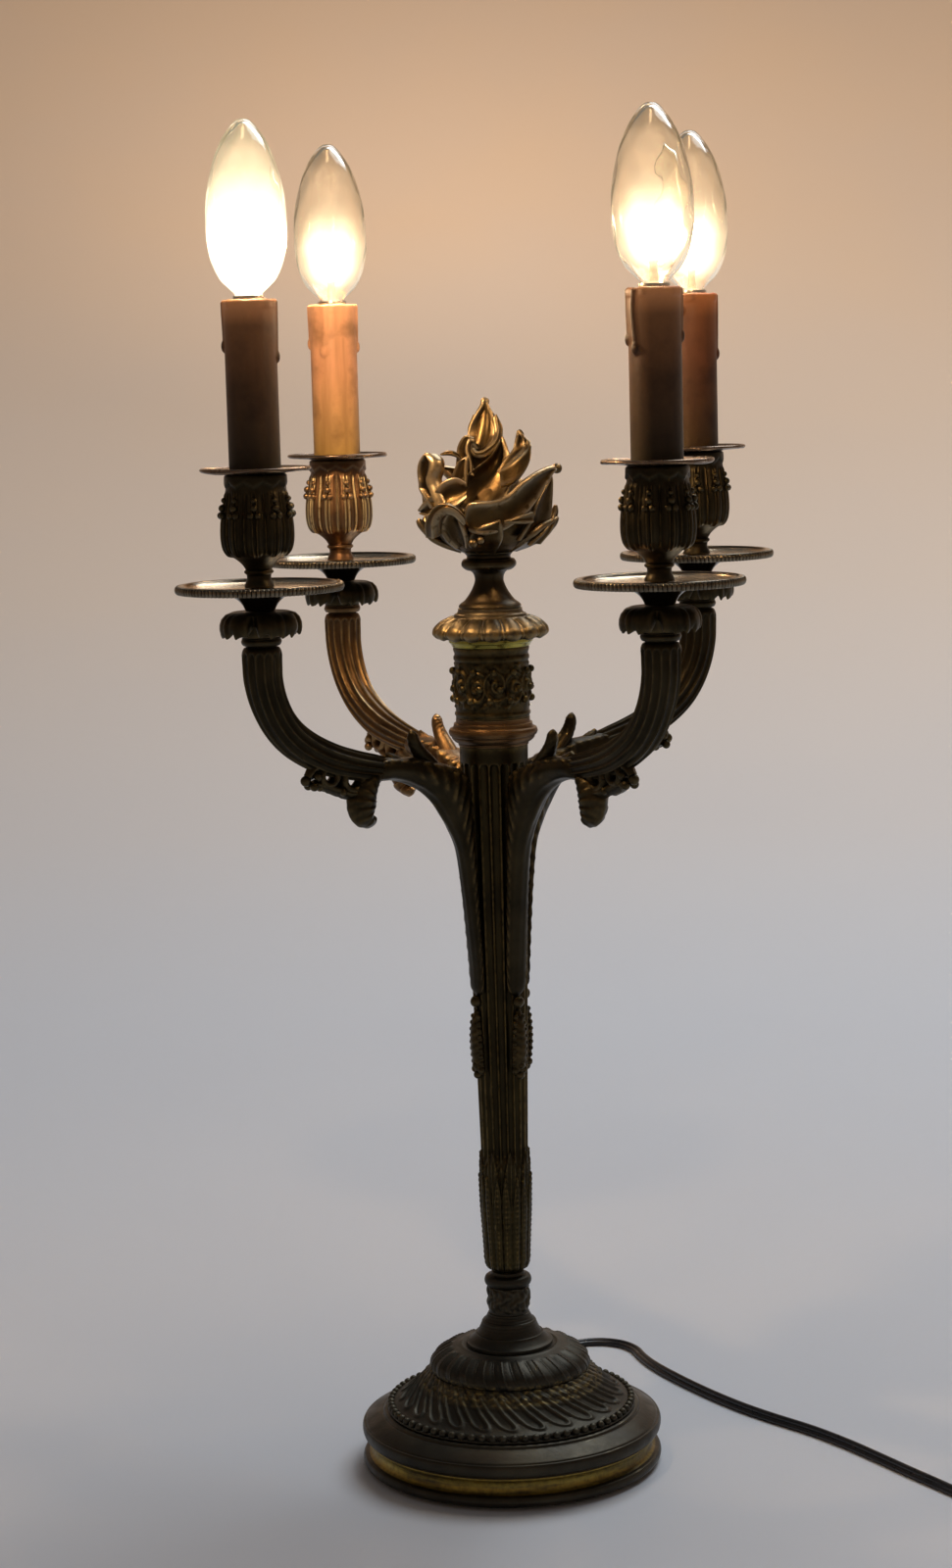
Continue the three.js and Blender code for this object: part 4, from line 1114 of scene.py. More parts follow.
@dataclass
class Flex:
    """The flat two-core flex on the table, its gland in the foot, its coil and its plug.

    Sizes are in millimetres and degrees, but length, start and route are in metres.
    """

    width: float = 5.2
    thickness: float = 2.8
    lean: float = 62.0
    gap: float = 0.05
    length: float = 1.6
    start: tuple[float, float, float] = (0.0, 0.0906, 0.0118)
    coil_centre: tuple[float, float] = (252.0, -21.2)
    coil_outer: float = 37.5
    coil_inner: float = 19.5
    coil_from: float = -137.4
    coil_turn: float = 2327.4
    plug_place: tuple[float, float] = (273.07, 17.51)
    plug_turn: float = 120.0
    plug_height: float = 6.5
    pin_root: float = 33.2
    pin_spread: float = 9.3
    route: tuple = (
        (0.0, 0.0870, 0.0118), (0.0, 0.0909, 0.0118), (0.0, 0.0970, 0.0117), (0.0, 0.1060, 0.0101),
        (0.0, 0.1145, 0.0071), (0.0, 0.1230, 0.0041), (0.0, 0.1320, 0.0027), (0.0, 0.1420, 0.0025),
        (0.0, 0.1526, 0.0025), (0.0029, 0.1636, 0.0025), (0.0110, 0.1719, 0.0025), (0.0220, 0.1750, 0.0025),
        (0.0330, 0.1720, 0.0025), (0.0411, 0.1638, 0.0025), (0.0462, 0.1524, 0.0025), (0.0524, 0.1402, 0.0025),
        (0.0616, 0.1256, 0.0025), (0.0740, 0.1090, 0.0025), (0.0910, 0.0890, 0.0025), (0.1065, 0.0730, 0.0025),
        (0.1225, 0.0590, 0.0025), (0.1420, 0.0433, 0.0025), (0.1605, 0.0250, 0.0025), (0.1765, 0.0067, 0.0025),
        (0.1930, -0.0125, 0.0025), (0.2115, -0.0326, 0.0025),
    )

    def line(self) -> Array:
        """Middle line of the flex in millimetres, from the gland to inside the plug.

        After the free run it winds inwards on the table, climbs one thickness and winds outwards on top. The
        radius follows a V in the angle, softened as a hyperbola, and the end runs straight into the plug.

        Returns:
            The points.
        """
        low = self.thickness / 2 + self.gap
        free = np.array(self.route) / MILLIMETRE
        share = np.linspace(0, 1, 271)
        angle = np.radians(self.coil_from + self.coil_turn * share)
        soft = 0.07
        fold = (np.hypot(1 - 2 * share, soft) - soft) / (math.hypot(1, soft) - soft)
        radius = self.coil_inner + (self.coil_outer - self.coil_inner) * fold
        height = low + (self.thickness + self.gap) * ease(share, 0.478, 0.522)
        coil = about(radius, height, angle) + (*self.coil_centre, 0.0)
        rise = self.plug_height - np.array([1.5, 0.3, 0.0, 0.0])
        lead = about(np.array([-12.0, -4.0, 2.0, 7.0]), rise, math.radians(self.plug_turn))
        return spline(np.vstack([free, coil, lead + (*self.plug_place, 0.0)]), 3)

    def flex(self) -> tuple[bpy.types.Object, Array]:
        """The flex: two round cores side by side, as arcs of two overlapping circles, along the line.

        It lies flat at both ends and leans over on its edge in the free run, so the section is turned by an
        angle that rises and falls along the line. Its middle is as high as the turned section needs.

        Returns:
            The piece, and its middle line in metres.
        """
        core = self.thickness / 2
        offset = self.width / 2 - core
        reach = math.acos(-offset / core)
        a = np.linspace(-reach, reach, 11)
        right = np.stack([offset + core * np.cos(a), core * np.sin(a)], 1)
        section = np.vstack([right[1:], -right[1:]])
        line = self.line()
        heading = unit(np.gradient(line, axis=0))
        level = np.stack([heading[:, 1], -heading[:, 0], 0 * heading[:, 0]], 1)
        way = travelled(line)
        lean = np.radians(self.lean * within(way, 190, 360, 60) + 18 * bell(way - 110, 60))
        height, stand = line[:, 2:], offset * np.sin(lean) + core + self.gap
        lying = (way < 400) * (1 - ease(height, 2.6, 6.0)) * (height > 2.0)
        line[:, 2:] = np.maximum(height + lying * (stand - height), stand)
        level = level * np.cos(lean) + np.cross(heading, level) * np.sin(lean)
        shape = carried(line, section, level)
        piece = dressed("flex_twin", shape, FLEX_RUBBER, "lamp", ("power_cord", "cord_coil"))
        return piece, line * MILLIMETRE

    def gland(self) -> bpy.types.Object:
        """Ribbed strain relief: a taper with ring grooves, turned to run along +Y.

        Returns:
            The piece.
        """
        outer = spline([[0, 61.0], (4.2, 61.0), (4.2, 67.6), (3.2, 90.2), (2.7, 90.6), [0, 90.6]], 10)

        def rings(r: Array, z: Array, a: Array) -> Array:
            """Grooves 2.6 mm apart on the taper."""
            return -0.42 * channel((z / 2.6) % 1 - 0.5, 0.28) * within(z, 70, 87, 0.5) + 0 * a

        shape = turned(outer, sides=32, relief=rings)
        x, y, z = shape.points.T
        lying = replace(shape, points=np.stack([x, z, self.start[2] / MILLIMETRE - y], 1)).outward()
        return dressed("gland_ribbed", lying, FLEX_RUBBER, "lamp", ("cord_gland",))

    def plug(self) -> list[bpy.types.Object]:
        """Plug body with finger ribs, and its two round-ended pins.

        The body is a run of rounded rectangles, each a circle with its cosine and sine raised to a power.

        Returns:
            The pieces.
        """
        c, s = oval(48)
        round_c = np.sign(c) * np.abs(c) ** 0.55
        round_s = np.sign(s) * np.abs(s) ** 0.55
        stations = spline(
            [[0.2, 3.2, 3.0], [0.6, 4.2, 3.8], [3, 4.5, 4.4], [8, 8.6, 5.6], [13.5, 13.8, 6.3], [17, 14.8, 6.4],
             [25, 15, 6.45], [31, 14.9, 6.4], [32.6, 14.4, 6.0], [33, 13.4, 5.2]], 7)
        ribs = 1 - 0.05 * channel((stations[:, :1] / 2.4) % 1 - 0.5, 0.3) * within(stations[:, :1], 15, 27, 0.4)
        x = np.repeat(stations[:, :1], 48, 1)
        grid = np.stack([x, stations[:, 1:2] * ribs * round_c, self.plug_height + stations[:, 2:] * round_s], -1)
        body = surface(grid).placed(turn=self.plug_turn).placed(shift=(*self.plug_place, 0.0))
        pieces = [dressed("plug_moulded", body, PLUG_PLASTIC, "lamp", ("plug_body",))]
        line = spline([[0, 0], (2, 0), [2, 17.4], [1.6, 18.6], [0.8, 19.0], [0, 19.0]], 5)
        pin = turned(line, sides=24)
        for side, label in ((1, "left"), (-1, "right")):
            x, y, z = pin.points.T
            points = np.stack([self.pin_root + z, side * self.pin_spread + y, self.plug_height - x], 1)
            lying = replace(pin, points=points).outward()
            lying = lying.placed(turn=self.plug_turn).placed(shift=(*self.plug_place, 0.0))
            pieces.append(dressed(f"pin_{label}", lying, NICKEL, "lamp", (f"plug_pin_{label}",)))
        return pieces

    def build(self) -> None:
        """Makes the flex with what is on it, and says how long it is."""
        self.gland()
        on_it = self.plug()
        flex, middle = self.flex()
        log.info("flex: %.3f m along its middle", travelled(middle)[-1, 0])


# Foot and dome


@dataclass
class Foot:
    """Turned foot with its gilt hollow band, on a felt pad."""

    gilt_from: float = -112.0

    def build(self) -> None:
        """The ring, as a turned line with crisp fillets; the band is gilt, most on the side that it faces."""
        outer = spline(
            [[62.4, 1.5], (69.4, 1.5), [71.0, 2.6], [71.6, 4.4], [71.0, 6.2], (70.2, 6.7), (69.0, 6.9), [67.4, 8.0],
             [66.6, 10.2], [67.0, 12.6], (68.2, 14.0), [69.4, 14.1], [69.8, 14.7], (69.6, 15.4), [71.0, 16.4],
             [71.6, 18.4], [71.5, 20.6], (70.9, 21.8), [70.1, 21.9], (69.7, 22.5), [65.6, 24.8], (62.2, 26.3),
             [61.6, 26.4], [61.0, 27.3], (60.4, 27.7), [52.0, 27.7]], 6)
        inner = [[52.0, 23.5], [61.0, 16.5], [62.4, 15.8], [62.4, 1.5]]

        def gold(r: Array, z: Array, a: Array) -> Array:
            """Gold in the band and on its fillet, strongest towards one side."""
            side = 0.66 + 0.34 * np.cos(a - math.radians(self.gilt_from))
            return side * within(z, 7.2, 14.9, 0.3) * (r > 64)

        shape = turned(outer, inner, 224, gild=gold)
        dressed("foot_turned", shape, FOOT_GILDING, "lamp", ("base_foot",))
        repaint("base_pad", FELT)


@dataclass
class Dome:
    """Cast dome: bead ring, skirt of swirled flutes, leaf fringe and a lobed cushion."""

    beads: int = 72
    flutes: int = 25
    lobes: int = 24
    swirl: float = 0.40
    skirt_radius: float = 53.2
    skirt_height: float = 31.2
    neck_height: float = 46.2

    def up(self, z: Array) -> Array:
        """Share of the way from the skirt's foot to its neck."""
        return (z - self.skirt_height) / (self.neck_height - self.skirt_height)

    def flute(self, r: Array, z: Array, a: Array) -> Array:
        """Distance from the line of a flute: two sides that swirl and a half circle at its end.

        Args:
            r: Radius.
            z: Height.
            a: Angle.

        Returns:
            Millimetres, below 0 inside the flute.
        """
        pitch = 2 * np.pi * r / self.flutes
        aside = np.abs(across(a + self.swirl * self.up(z), self.flutes)) * pitch
        half = 0.30 * pitch
        along = self.skirt_radius - r - half
        return np.where(along > 0, aside - half, np.hypot(aside, along) - half)

    def fringe(self, z: Array, a: Array) -> Array:
        """Two rows of small leaves under the cushion, as crossed waves that hang down in tongues.

        Args:
            z: Height.
            a: Angle.

        Returns:
            Lift in millimetres.
        """
        turn = a + self.swirl * self.up(z)
        first = channel(across(turn, 2 * self.flutes), 0.40) * within(z, 42.4, 45.6, 0.9)
        second = channel(across(turn + 0.06, 2 * self.flutes), 0.36) * within(z, 40.0, 43.2, 1.2)
        return 0.6 * first + 0.4 * second

    def lift(self, r: Array, z: Array, a: Array) -> Array:
        """Height of the casting's ornament.

        Skirt: a raised rounded border along each flute's line, the flute sunk inside it and the gap between
        two flutes sunk too. Cushion: full lobes with a thin bright ridge between them, a little slanted.

        Args:
            r: Radius.
            z: Height.
            a: Angle.

        Returns:
            Lift in millimetres.
        """
        off = self.flute(r, z, a)
        on = ease(z, self.skirt_height, self.skirt_height + 0.7) * (z < self.neck_height)
        border = 0.70 * bell(off, 0.8) - 0.40 * ease(-off, 0.2, 1.8) - 0.25 * ease(off, 0.3, 1.8) * (r < 50)
        skirt = border * on * (1 - ease(z, 41.5, 44.5)) + self.fringe(z, a)
        place = across(a + 0.012 * (z - 47), self.lobes)
        lobe = 0.8 * channel(place, 0.46) - 0.60 + 0.55 * bell(np.abs(place) - 0.5, 0.035) + 0.45 * bell(place, 0.03)
        cushion = within(z, 46.8, 57.0, 0.4) * lobe
        return np.where(z < self.neck_height, np.where(r > 56.1, 0.0, skirt), cushion)

    def gold(self, r: Array, z: Array, a: Array) -> Array:
        """Flecks round the neck, as crossed waves of the angle and the height, most at the front right.

        Args:
            r: Radius.
            z: Height.
            a: Angle.

        Returns:
            Share of gilding.
        """
        side = 0.7 + 0.3 * np.cos(a + 1.2)
        spots = np.clip(np.sin(31 * a + 2 * np.sin(9 * a)) * np.cos(2.9 * z + 3 * np.sin(13 * a)), 0, 1)
        return 0.42 * side * within(z, 41.0, 47.4, 2.0) * (0.3 + spots)

    def build(self) -> None:
        """The casting as one turned shell with its relief, and the beads that ring it."""
        skirt = [[56.0, 31.0], [54.4, 31.6], [52.2, 32.8], [49.2, 35.0], [45.6, 38.4], [42.2, 41.6], [39.4, 44.2],
                 [37.6, 46.0]]
        outer = np.vstack([
            spline([[58.6, 28.0], [59.3, 28.5], (59.0, 29.0), [57.0, 28.9], (56.8, 30.2), [56.2, 30.8]], 3),
            spline(skirt, 10),
            spline([[37.3, 46.1], [37.8, 46.9], [38.0, 48.8], [37.0, 51.6], [33.9, 54.4], [29.0, 56.9], (24.4, 57.9),
                    [23.0, 58.3], [22.0, 58.0]], 6),
            spline([[21.0, 58.0], [8.0, 58.0], [5.3, 58.0]], 2),
        ])
        inner = [[5.3, 52.0], [26.0, 50.0], [32.0, 43.0], [44.0, 33.5], [51.0, 28.0]]
        shell = turned(outer, inner, self.flutes * self.lobes, self.lift, self.gold)
        beads = ball(10, 7).repeated(about(57.6, 30.0, round_steps(self.beads)), 1.9)
        dressed("dome_cast", joined([shell, beads]), FOOT_BRONZE, "lamp", ("base_dome",), CAST_EDGE)


# Column


@dataclass
class Column:
    """Plinth, fluted stem with its leaf sheath, collar, relief frieze and bare brass socket."""

    flutes: int = 20
    leaves: int = 8
    sheath_top: float = 155.0
    flute_end: float = 339.5

    def plinth(self) -> None:
        """Turned cone with fine rings, a drum with low foliage and a round moulding."""
        outer = spline(
            [[20.7, 58.3], (20.7, 59.7), [19.0, 60.3], [16.8, 62.4], (16.2, 63.6), [15.2, 63.9], [13.6, 67.2],
             (12.6, 69.8), [11.6, 70.2], [10.2, 72.4], (9.9, 73.3), [9.3, 73.6], (9.4, 74.6), [10.0, 77.6],
             [10.2, 81.0], [10.0, 84.4], (9.6, 86.4), [9.2, 86.8], [10.6, 87.4], [11.25, 89.2], [10.7, 91.2],
             (9.4, 92.0), [8.3, 92.3], [7.7, 93.6]], 6)

        def lift(r: Array, z: Array, a: Array) -> Array:
            """Rings 1.5 mm apart on the cone; leaf bumps, as crossed cosines, on the drum.

            Args:
                r: Radius.
                z: Height.
                a: Angle.

            Returns:
                Lift in millimetres.
            """
            rings = 0.12 * np.cos(2 * np.pi * z / 1.5) * within(z, 64.5, 72.5, 0.5)
            vine = np.cos(7 * a + 1.6 * np.sin(z / 1.5)) * np.cos((z - 80.6) / 2.1 + 0.8 * np.sin(14 * a))
            return rings + 0.55 * np.sign(vine) * np.abs(vine) ** 0.7 * within(z, 75.4, 85.6, 0.6)

        def gold(r: Array, z: Array, a: Array) -> Array:
            """A trace of gold left in the drum's foliage."""
            return 0.05 * within(z, 75, 86, 0.5) + 0 * a

        shape = turned(outer, [[5.3, 93.6], [5.3, 58.3]], 168, lift, gold)
        dressed("plinth_turned", shape, FOOT_BRONZE, "lamp", ("neck_plinth",))

    def radius(self, z: Array) -> Array:
        """Radius of the stem without its ornament, straight between measured places.

        Args:
            z: Height.

        Returns:
            Radius in millimetres.
        """
        heights = [93.9, 96.5, 100.0, 106.0, 125.4, 150.0, 156.0, 187.5, 342.0, 346.9]
        radii = [7.2, 8.6, 9.3, 9.5, 10.6, 11.2, 11.3, 12.0, 15.9, 16.0]
        return np.interp(z, heights, radii)

    def stem_lift(self, r: Array, z: Array, a: Array) -> Array:
        """Flutes above, each a round hollow whose upper end narrows as an ellipse; leaves below.

        A leaf covers its sector up to a height that falls off from its middle, in small notches, with a
        midrib and slanted veins. A second row of leaves stands half a sector on, lower and flatter.

        Args:
            r: Radius.
            z: Height.
            a: Angle.

        Returns:
            Lift in millimetres.
        """
        width = 0.41 * tapered(self.flute_end - z, 2.0)
        on = ease(z, self.sheath_top - 8, self.sheath_top - 2) * (z < self.flute_end)
        flute = -1.25 * channel(across(a, self.flutes), width) * on
        return flute + self.leaf_lift(z, a, 0.0, 154.6, 0.95) + self.leaf_lift(z, a, 0.5, 147.5, 0.55)

    def leaf_lift(self, z: Array, a: Array, start: float, tip: float, lift: float) -> Array:
        """One row of the sheath's leaves.

        Args:
            z: Height.
            a: Angle.
            start: Shift of the row in sectors.
            tip: Height of the leaves' tips.
            lift: How far they stand out.

        Returns:
            Lift in millimetres.
        """
        place = across(a + start * 2 * np.pi / self.leaves, self.leaves)
        width = 0.49 * np.clip((tip - z) / 22.0, 0, 1) ** 0.55 - 0.02 * saw(z / 5.0)
        edge = ease(width - np.abs(place), 0.0, 0.04)
        side = np.abs(place)
        ribs = 0.42 * bell(side, 0.04) + 0.28 * bell(side - 0.2, 0.04) + 0.22 * bell(side - 0.36, 0.04)
        notches = 0.10 * np.cos(2 * np.pi * (z / 2.5 - 1.2 * side))
        return edge * (lift + notches + ribs) * ease(z, 94.5, 97.0)

    def stem_gold(self, r: Array, z: Array, a: Array) -> Array:
        """Fine lines of gold on the flutes' edges, and specks along the leaves' ribs.

        Args:
            r: Radius.
            z: Height.
            a: Angle.

        Returns:
            Share of gilding.
        """
        place = np.abs(across(a, self.flutes))
        lines = bell(place - 0.42, 0.035) * within(z, 156, 338, 2)
        leaves = bell(np.abs(across(a, self.leaves)) - 0.28, 0.05) * within(z, 97, 152, 3) * (np.cos(2.4 * z) > 0)
        return 0.20 * lines + 0.15 * leaves

    def stem(self) -> None:
        """The stem, as a turned line of close steps with flutes and leaves as relief."""
        spans = ((93.9, 158, 74), (160, 334, 40), (335, 341, 13), (342, 346.9, 4))
        steps = np.concatenate([np.linspace(*span) for span in spans])
        outer = np.stack([self.radius(steps), steps], 1)
        shape = turned(outer, [[5.3, 346.9], [5.3, 93.9]], self.flutes * 16, self.stem_lift, self.stem_gold)
        dressed("stem_fluted", shape, STEM_BRONZE, "lamp", ("stem",), CAST_EDGE)

    def collar(self) -> None:
        """Stacked smooth mouldings on top of the stem."""
        outer = spline(
            [[16.4, 347.2], (16.6, 348.4), [17.8, 348.9], [19.2, 350.3], (19.5, 351.4), [20.3, 352.0], [20.8, 353.5],
             (20.3, 355.0), [19.2, 355.3], [18.5, 356.3], (18.3, 357.5), [17.5, 357.8], [17.3, 358.8],
             [17.3, 359.8]], 6)
        inner = [[13.7, 359.8], [13.7, 351.8], [5.3, 351.8], [5.3, 347.2]]
        dressed("collar_turned", turned(outer, inner, 128), COPPERY, "lamp", ("top_collar",))

    def frieze(self) -> None:
        """Relief drum: scrolled stems, with nubs that stand proud in three rows."""
        wall = straight(17.2, np.linspace(360.1, 390.4, 61))
        outer = np.vstack([wall, [[17.5, 391.0], [17.8, 392.2], [17.6, 393.0], [16.2, 393.0], [16.0, 390.1]]])

        def lift(r: Array, z: Array, a: Array) -> Array:
            """Scrolls: how near a point lies to a spiral round each scroll's centre, turned by halves of a cell.

            Crossed waves between the scrolls stand for leaves.

            Args:
                r: Radius.
                z: Height.
                a: Angle.

            Returns:
                Lift in millimetres.
            """
            cell = across(a, 6) * 2
            high = (z - 375.4) / 10.0
            waves = np.cos(11 * a + 1.2 * np.sin(z / 1.9)) * np.cos((z - 375) / 1.7 + 1.3 * np.sin(9 * a))
            total = 0.7 * np.clip(waves, 0, 1)
            for side in (-0.5, 0.5):
                x, y = (cell - side) * 1.15, high * (1 if side > 0 else -1) - 0.12
                reach = np.hypot(x, y)
                wound = (np.arctan2(y, x) / (2 * np.pi)) % 1
                spiral = np.abs((reach * 2.2 - wound + 0.5) % 1 - 0.5)
                total = np.maximum(total, bell(spiral, 0.24) * (1 - ease(reach, 0.72, 0.95)) + bell(reach, 0.2))
            band = within(z, 365.6, 385.6, 0.8)
            rims = 0.5 * (within(z, 361.4, 362.6, 0.3) + within(z, 387.4, 388.8, 0.3))
            return (band * (1.35 * total + 0.1) + rims) * (r > 17.1)

        rows = ((369.0, 0.1), (374.4, 0.36), (382.2, 0.2))
        centres = np.vstack([about(18.1, height, round_steps(12) + start) for height, start in rows])
        drum = turned(outer, [[13.7, 390.1], [13.7, 360.1]], 288, lift, lambda r, z, a: 0.06 + 0 * a * z)
        nubs = ball(10, 7).repeated(centres, 1.8)
        dressed("frieze_relief", joined([drum, nubs]), STEM_BRONZE, "lamp", ("frieze_drum",), CAST_EDGE)

    def socket(self) -> None:
        """Bare brass socket: a flared ring and the tube below it that guides the finial's spigot."""
        outer = spline(
            [[8.5, 372.3], (13.4, 372.3), (13.4, 390.4), (15.7, 390.4), (15.8, 393.3), [17.9, 393.3], [18.4, 394.0],
             (19.2, 395.2), [19.6, 395.6], (19.6, 397.0), [8.5, 397.0]], 5)
        shape = turned(outer, [[8.5, 390.0], [8.5, 380.0]], 96)
        dressed("socket_brass", shape, BARE_BRASS, "lamp", ("brass_ring",))

    def build(self) -> None:
        """Makes the column from the plinth up, and finishes the hidden rod and nuts."""
        self.plinth()
        self.stem()
        self.collar()
        self.frieze()
        self.socket()
        for node in ("tie_rod", "bottom_nut", "top_nut"):
            repaint(node, STEEL)


# Finial


@dataclass
class Finial:
    """Lobed cap with its spigot, waisted spool and the flame.

    The licks are described as the view shows them and turned to it by view_turn degrees. Those whose rims are
    thicker than stout keep more gilding.
    """

    gadroons: int = 16
    view_turn: float = 9.4
    stout: float = 1.55

    def cap(self) -> None:
        """Cap: full lobes that run from the scalloped lip up to the neck, with the spigot and the stud."""
        outer = spline(
            [[0, 373.3], [7.6, 373.3], (8.2, 374.0), (8.2, 397.3), (22.6, 397.3), [24.6, 397.9], [26.2, 399.3],
             [26.3, 400.6], [25.6, 402.2], [22.9, 404.6], [19.6, 406.2], (17.6, 406.9), [17.0, 407.4], (16.6, 408.4),
             [15.6, 408.8], [15.0, 409.8], (14.9, 410.9), (3.0, 410.9), (3.0, 451.0), [0, 451.0]], 6)

        def lift(r: Array, z: Array, a: Array) -> Array:
            """Round lobes on the cap's shoulder, with a narrow dart between two.

            Args:
                r: Radius.
                z: Height.
                a: Angle.

            Returns:
                Lift in millimetres.
            """
            place = across(a, self.gadroons)
            dart = 0.9 * bell(np.abs(place) - 0.5, 0.07)
            return (1.7 * channel(place, 0.40) - 0.9 + dart) * within(r, 18.4, 26.6, 0.9) * (z > 397.6)

        shape = turned(outer, sides=self.gadroons * 18, relief=lift, gild=lambda r, z, a: 0.3 * (r > 25.2) + 0 * a)
        dressed("cap_gadrooned", shape, CAP_BRONZE, "finial", ("finial_cap",), CAST_EDGE)

    def spool(self) -> None:
        """Waisted spool between two round mouldings."""
        outer = spline(
            [[14.3, 411.2], [14.5, 412.2], (13.6, 413.3), [11.4, 415.0], [8.6, 419.0], [7.0, 422.6], [6.7, 424.8],
             [7.3, 427.0], (8.6, 428.4), [10.6, 428.8], [12.5, 430.4], [12.7, 432.2], (11.8, 433.7), [10.4, 434.1],
             [10.2, 435.3], [11.4, 436.8]], 6)
        shape = turned(outer, [[3.3, 436.8], [3.3, 411.2]], 96)
        dressed("spool_turned", shape, SPOOL_BRONZE, "finial", ("finial_spool",))

    def lick(self, rim: float, hollow: float, rows: Sequence, turn: float = 0.0) -> Shape:
        """One lick of the flame, a slab with round rims between two edges.

        Each edge point is given by what the view shows, its place to the right and its height, and by its
        distance from the axis. Between the rims the slab bends back by a parabola.

        Args:
            rim: Half thickness at the rims.
            hollow: How far the middle lies behind the rims; below 0 it bulges.
            rows: Rows of [right, height, radius] of one edge and the same of the other, from root to tip.
            turn: Degrees that the lick is turned on from where it is described.

        Returns:
            The shape.
        """
        edges = spline(rows, 8).reshape(-1, 2, 3)
        right, height, radius = edges[..., 0], edges[..., 1], edges[..., 2]
        ends = np.stack([right, -np.sqrt(np.clip(radius**2 - right**2, 0, None)), height], -1)
        middle = ends.mean(axis=1)
        half = (ends[:, 1] - ends[:, 0]) / 2
        size = np.linalg.norm(half, axis=1, keepdims=True)
        half /= size
        normal = unit(np.cross(half, np.gradient(middle, axis=0)))
        normal *= np.sign(np.sum(normal[:, :2] * middle[:, :2]))
        thick = np.minimum(rim, 0.85 * size)
        cap, flat = np.linspace(-np.pi / 2, np.pi / 2, 9), np.linspace(1, -1, 9)[1:-1]
        along = np.r_[np.ones(9), flat, -np.ones(9), -flat]
        out = np.r_[np.cos(cap), 0 * flat, -np.cos(cap), 0 * flat]
        face = np.r_[np.sin(cap), 1 + 0 * flat, -np.sin(cap), -1 + 0 * flat]
        place = along * (size - thick) + out * thick
        bend = hollow * np.clip(size / 5, 0, 1) * (1 - (place / size) ** 2)
        lift = thick * face * (0.55 + 0.45 * along**2) - bend
        grid = middle[:, None] + place[..., None] * half[:, None] + lift[..., None] * normal[:, None]
        gilding = (0.8 if rim > self.stout else 0.3) * np.abs(along) ** 6
        return surface(grid, gilding).placed(turn=self.view_turn + turn)

    def licks(self) -> list[Shape]:
        """The licks that the view shows, and the larger ones again on the far side.

        Returns:
            The shapes.
        """
        sweep = (1.7, 1.0, [
            [-10.5, 455.5, 26, -8.0, 447.5, 24.5], [-8.2, 461.0, 27.5, -1.0, 446.0, 25.5],
            [2.5, 461.8, 29, 8.0, 448.5, 26.5], [9.5, 464.6, 29.5, 16.0, 454.0, 28],
            [15.5, 469.8, 30, 22.5, 461.0, 29], [22.5, 473.8, 31, 27.0, 468.0, 30.5],
            [28.0, 475.9, 32, 30.0, 472.4, 32], [31.0, 476.2, 33, 31.6, 473.8, 33]])
        deep = (1.5, 4.5, [
            [-11.0, 457.0, 24, 0.0, 456.5, 26], [-15.6, 462.0, 23, 6.5, 460.5, 26.5],
            [-14.2, 468.3, 20.5, 10.5, 467.0, 24], [-8.0, 474.3, 18.5, 11.5, 474.0, 21],
            [0.8, 480.6, 16, 10.8, 481.5, 17], [5.4, 486.6, 13, 9.0, 488.0, 13.5],
            [6.4, 491.0, 10.5, 7.0, 491.4, 10.6]])
        inside = (1.3, 1.2, [
            [5.0, 474.0, 16, 6.4, 473.6, 22], [8.4, 479.0, 16, 11.6, 478.4, 22],
            [12.2, 484.0, 16.5, 17.6, 483.6, 22], [13.4, 488.4, 17, 18.2, 488.6, 21],
            [14.4, 492.6, 18, 15.2, 492.8, 18.5]])
        outside = (1.4, -1.2, [
            [6.0, 475.4, 22, 6.0, 467.0, 24.5], [11.4, 479.0, 22.6, 13.6, 469.8, 25.5],
            [17.4, 484.0, 22.4, 18.8, 477.0, 24.5], [18.4, 488.6, 21.4, 19.2, 484.6, 22.6],
            [15.2, 493.0, 18.4, 16.2, 491.8, 19]])
        jay = (1.3, -0.6, [
            [4.8, 500.0, 6, 3.6, 499.0, 7], [7.6, 492.6, 9, 4.4, 492.2, 10], [5.6, 485.8, 12, 2.4, 487.8, 12],
            [0.4, 481.0, 14, -1.0, 484.6, 13], [-4.6, 480.6, 14.5, -3.6, 483.8, 13.5],
            [-7.4, 483.4, 14, -5.0, 485.2, 13]])
        spire = (1.2, 1.8, [
            [-5.0, 484.5, 10.5, 1.6, 485.0, 11], [-8.0, 489.5, 10, 4.6, 490.0, 9.5],
            [-7.4, 494.5, 8.6, 5.0, 495.0, 8], [-4.8, 499.5, 6.4, 4.0, 499.8, 6.2],
            [-2.2, 503.6, 4.2, 2.4, 503.6, 4.2], [-0.6, 506.6, 2.6, 0.9, 506.6, 2.6]])
        curl = (1.5, 1.5, [
            [-14.0, 474.0, 17, -6.0, 473.0, 18], [-13.4, 480.5, 16, -7.0, 479.5, 17],
            [-12.6, 486.0, 15, -8.2, 484.0, 16.5], [-9.6, 490.6, 13.5, -7.2, 487.6, 15.5],
            [-5.4, 490.0, 13, -5.2, 488.0, 14]])
        point = (1.4, 1.0, [
            [-17.0, 467.5, 20, -9.0, 468.0, 20], [-15.0, 474.6, 19, -8.6, 474.0, 19],
            [-12.4, 479.4, 18, -8.2, 478.4, 18.4], [-8.4, 481.8, 17.6, -8.0, 481.2, 17.8]])
        lip = (1.8, 2.8, [
            [-9.5, 470.0, 22, -9.5, 462.5, 23], [-14.5, 472.4, 24, -13.0, 459.5, 25],
            [-20.5, 470.2, 27, -17.0, 457.5, 27.5], [-24.4, 465.2, 29, -21.5, 456.0, 29.5],
            [-29.4, 460.6, 31.5, -26.5, 454.6, 31], [-31.6, 457.4, 32, -30.6, 455.4, 32]])
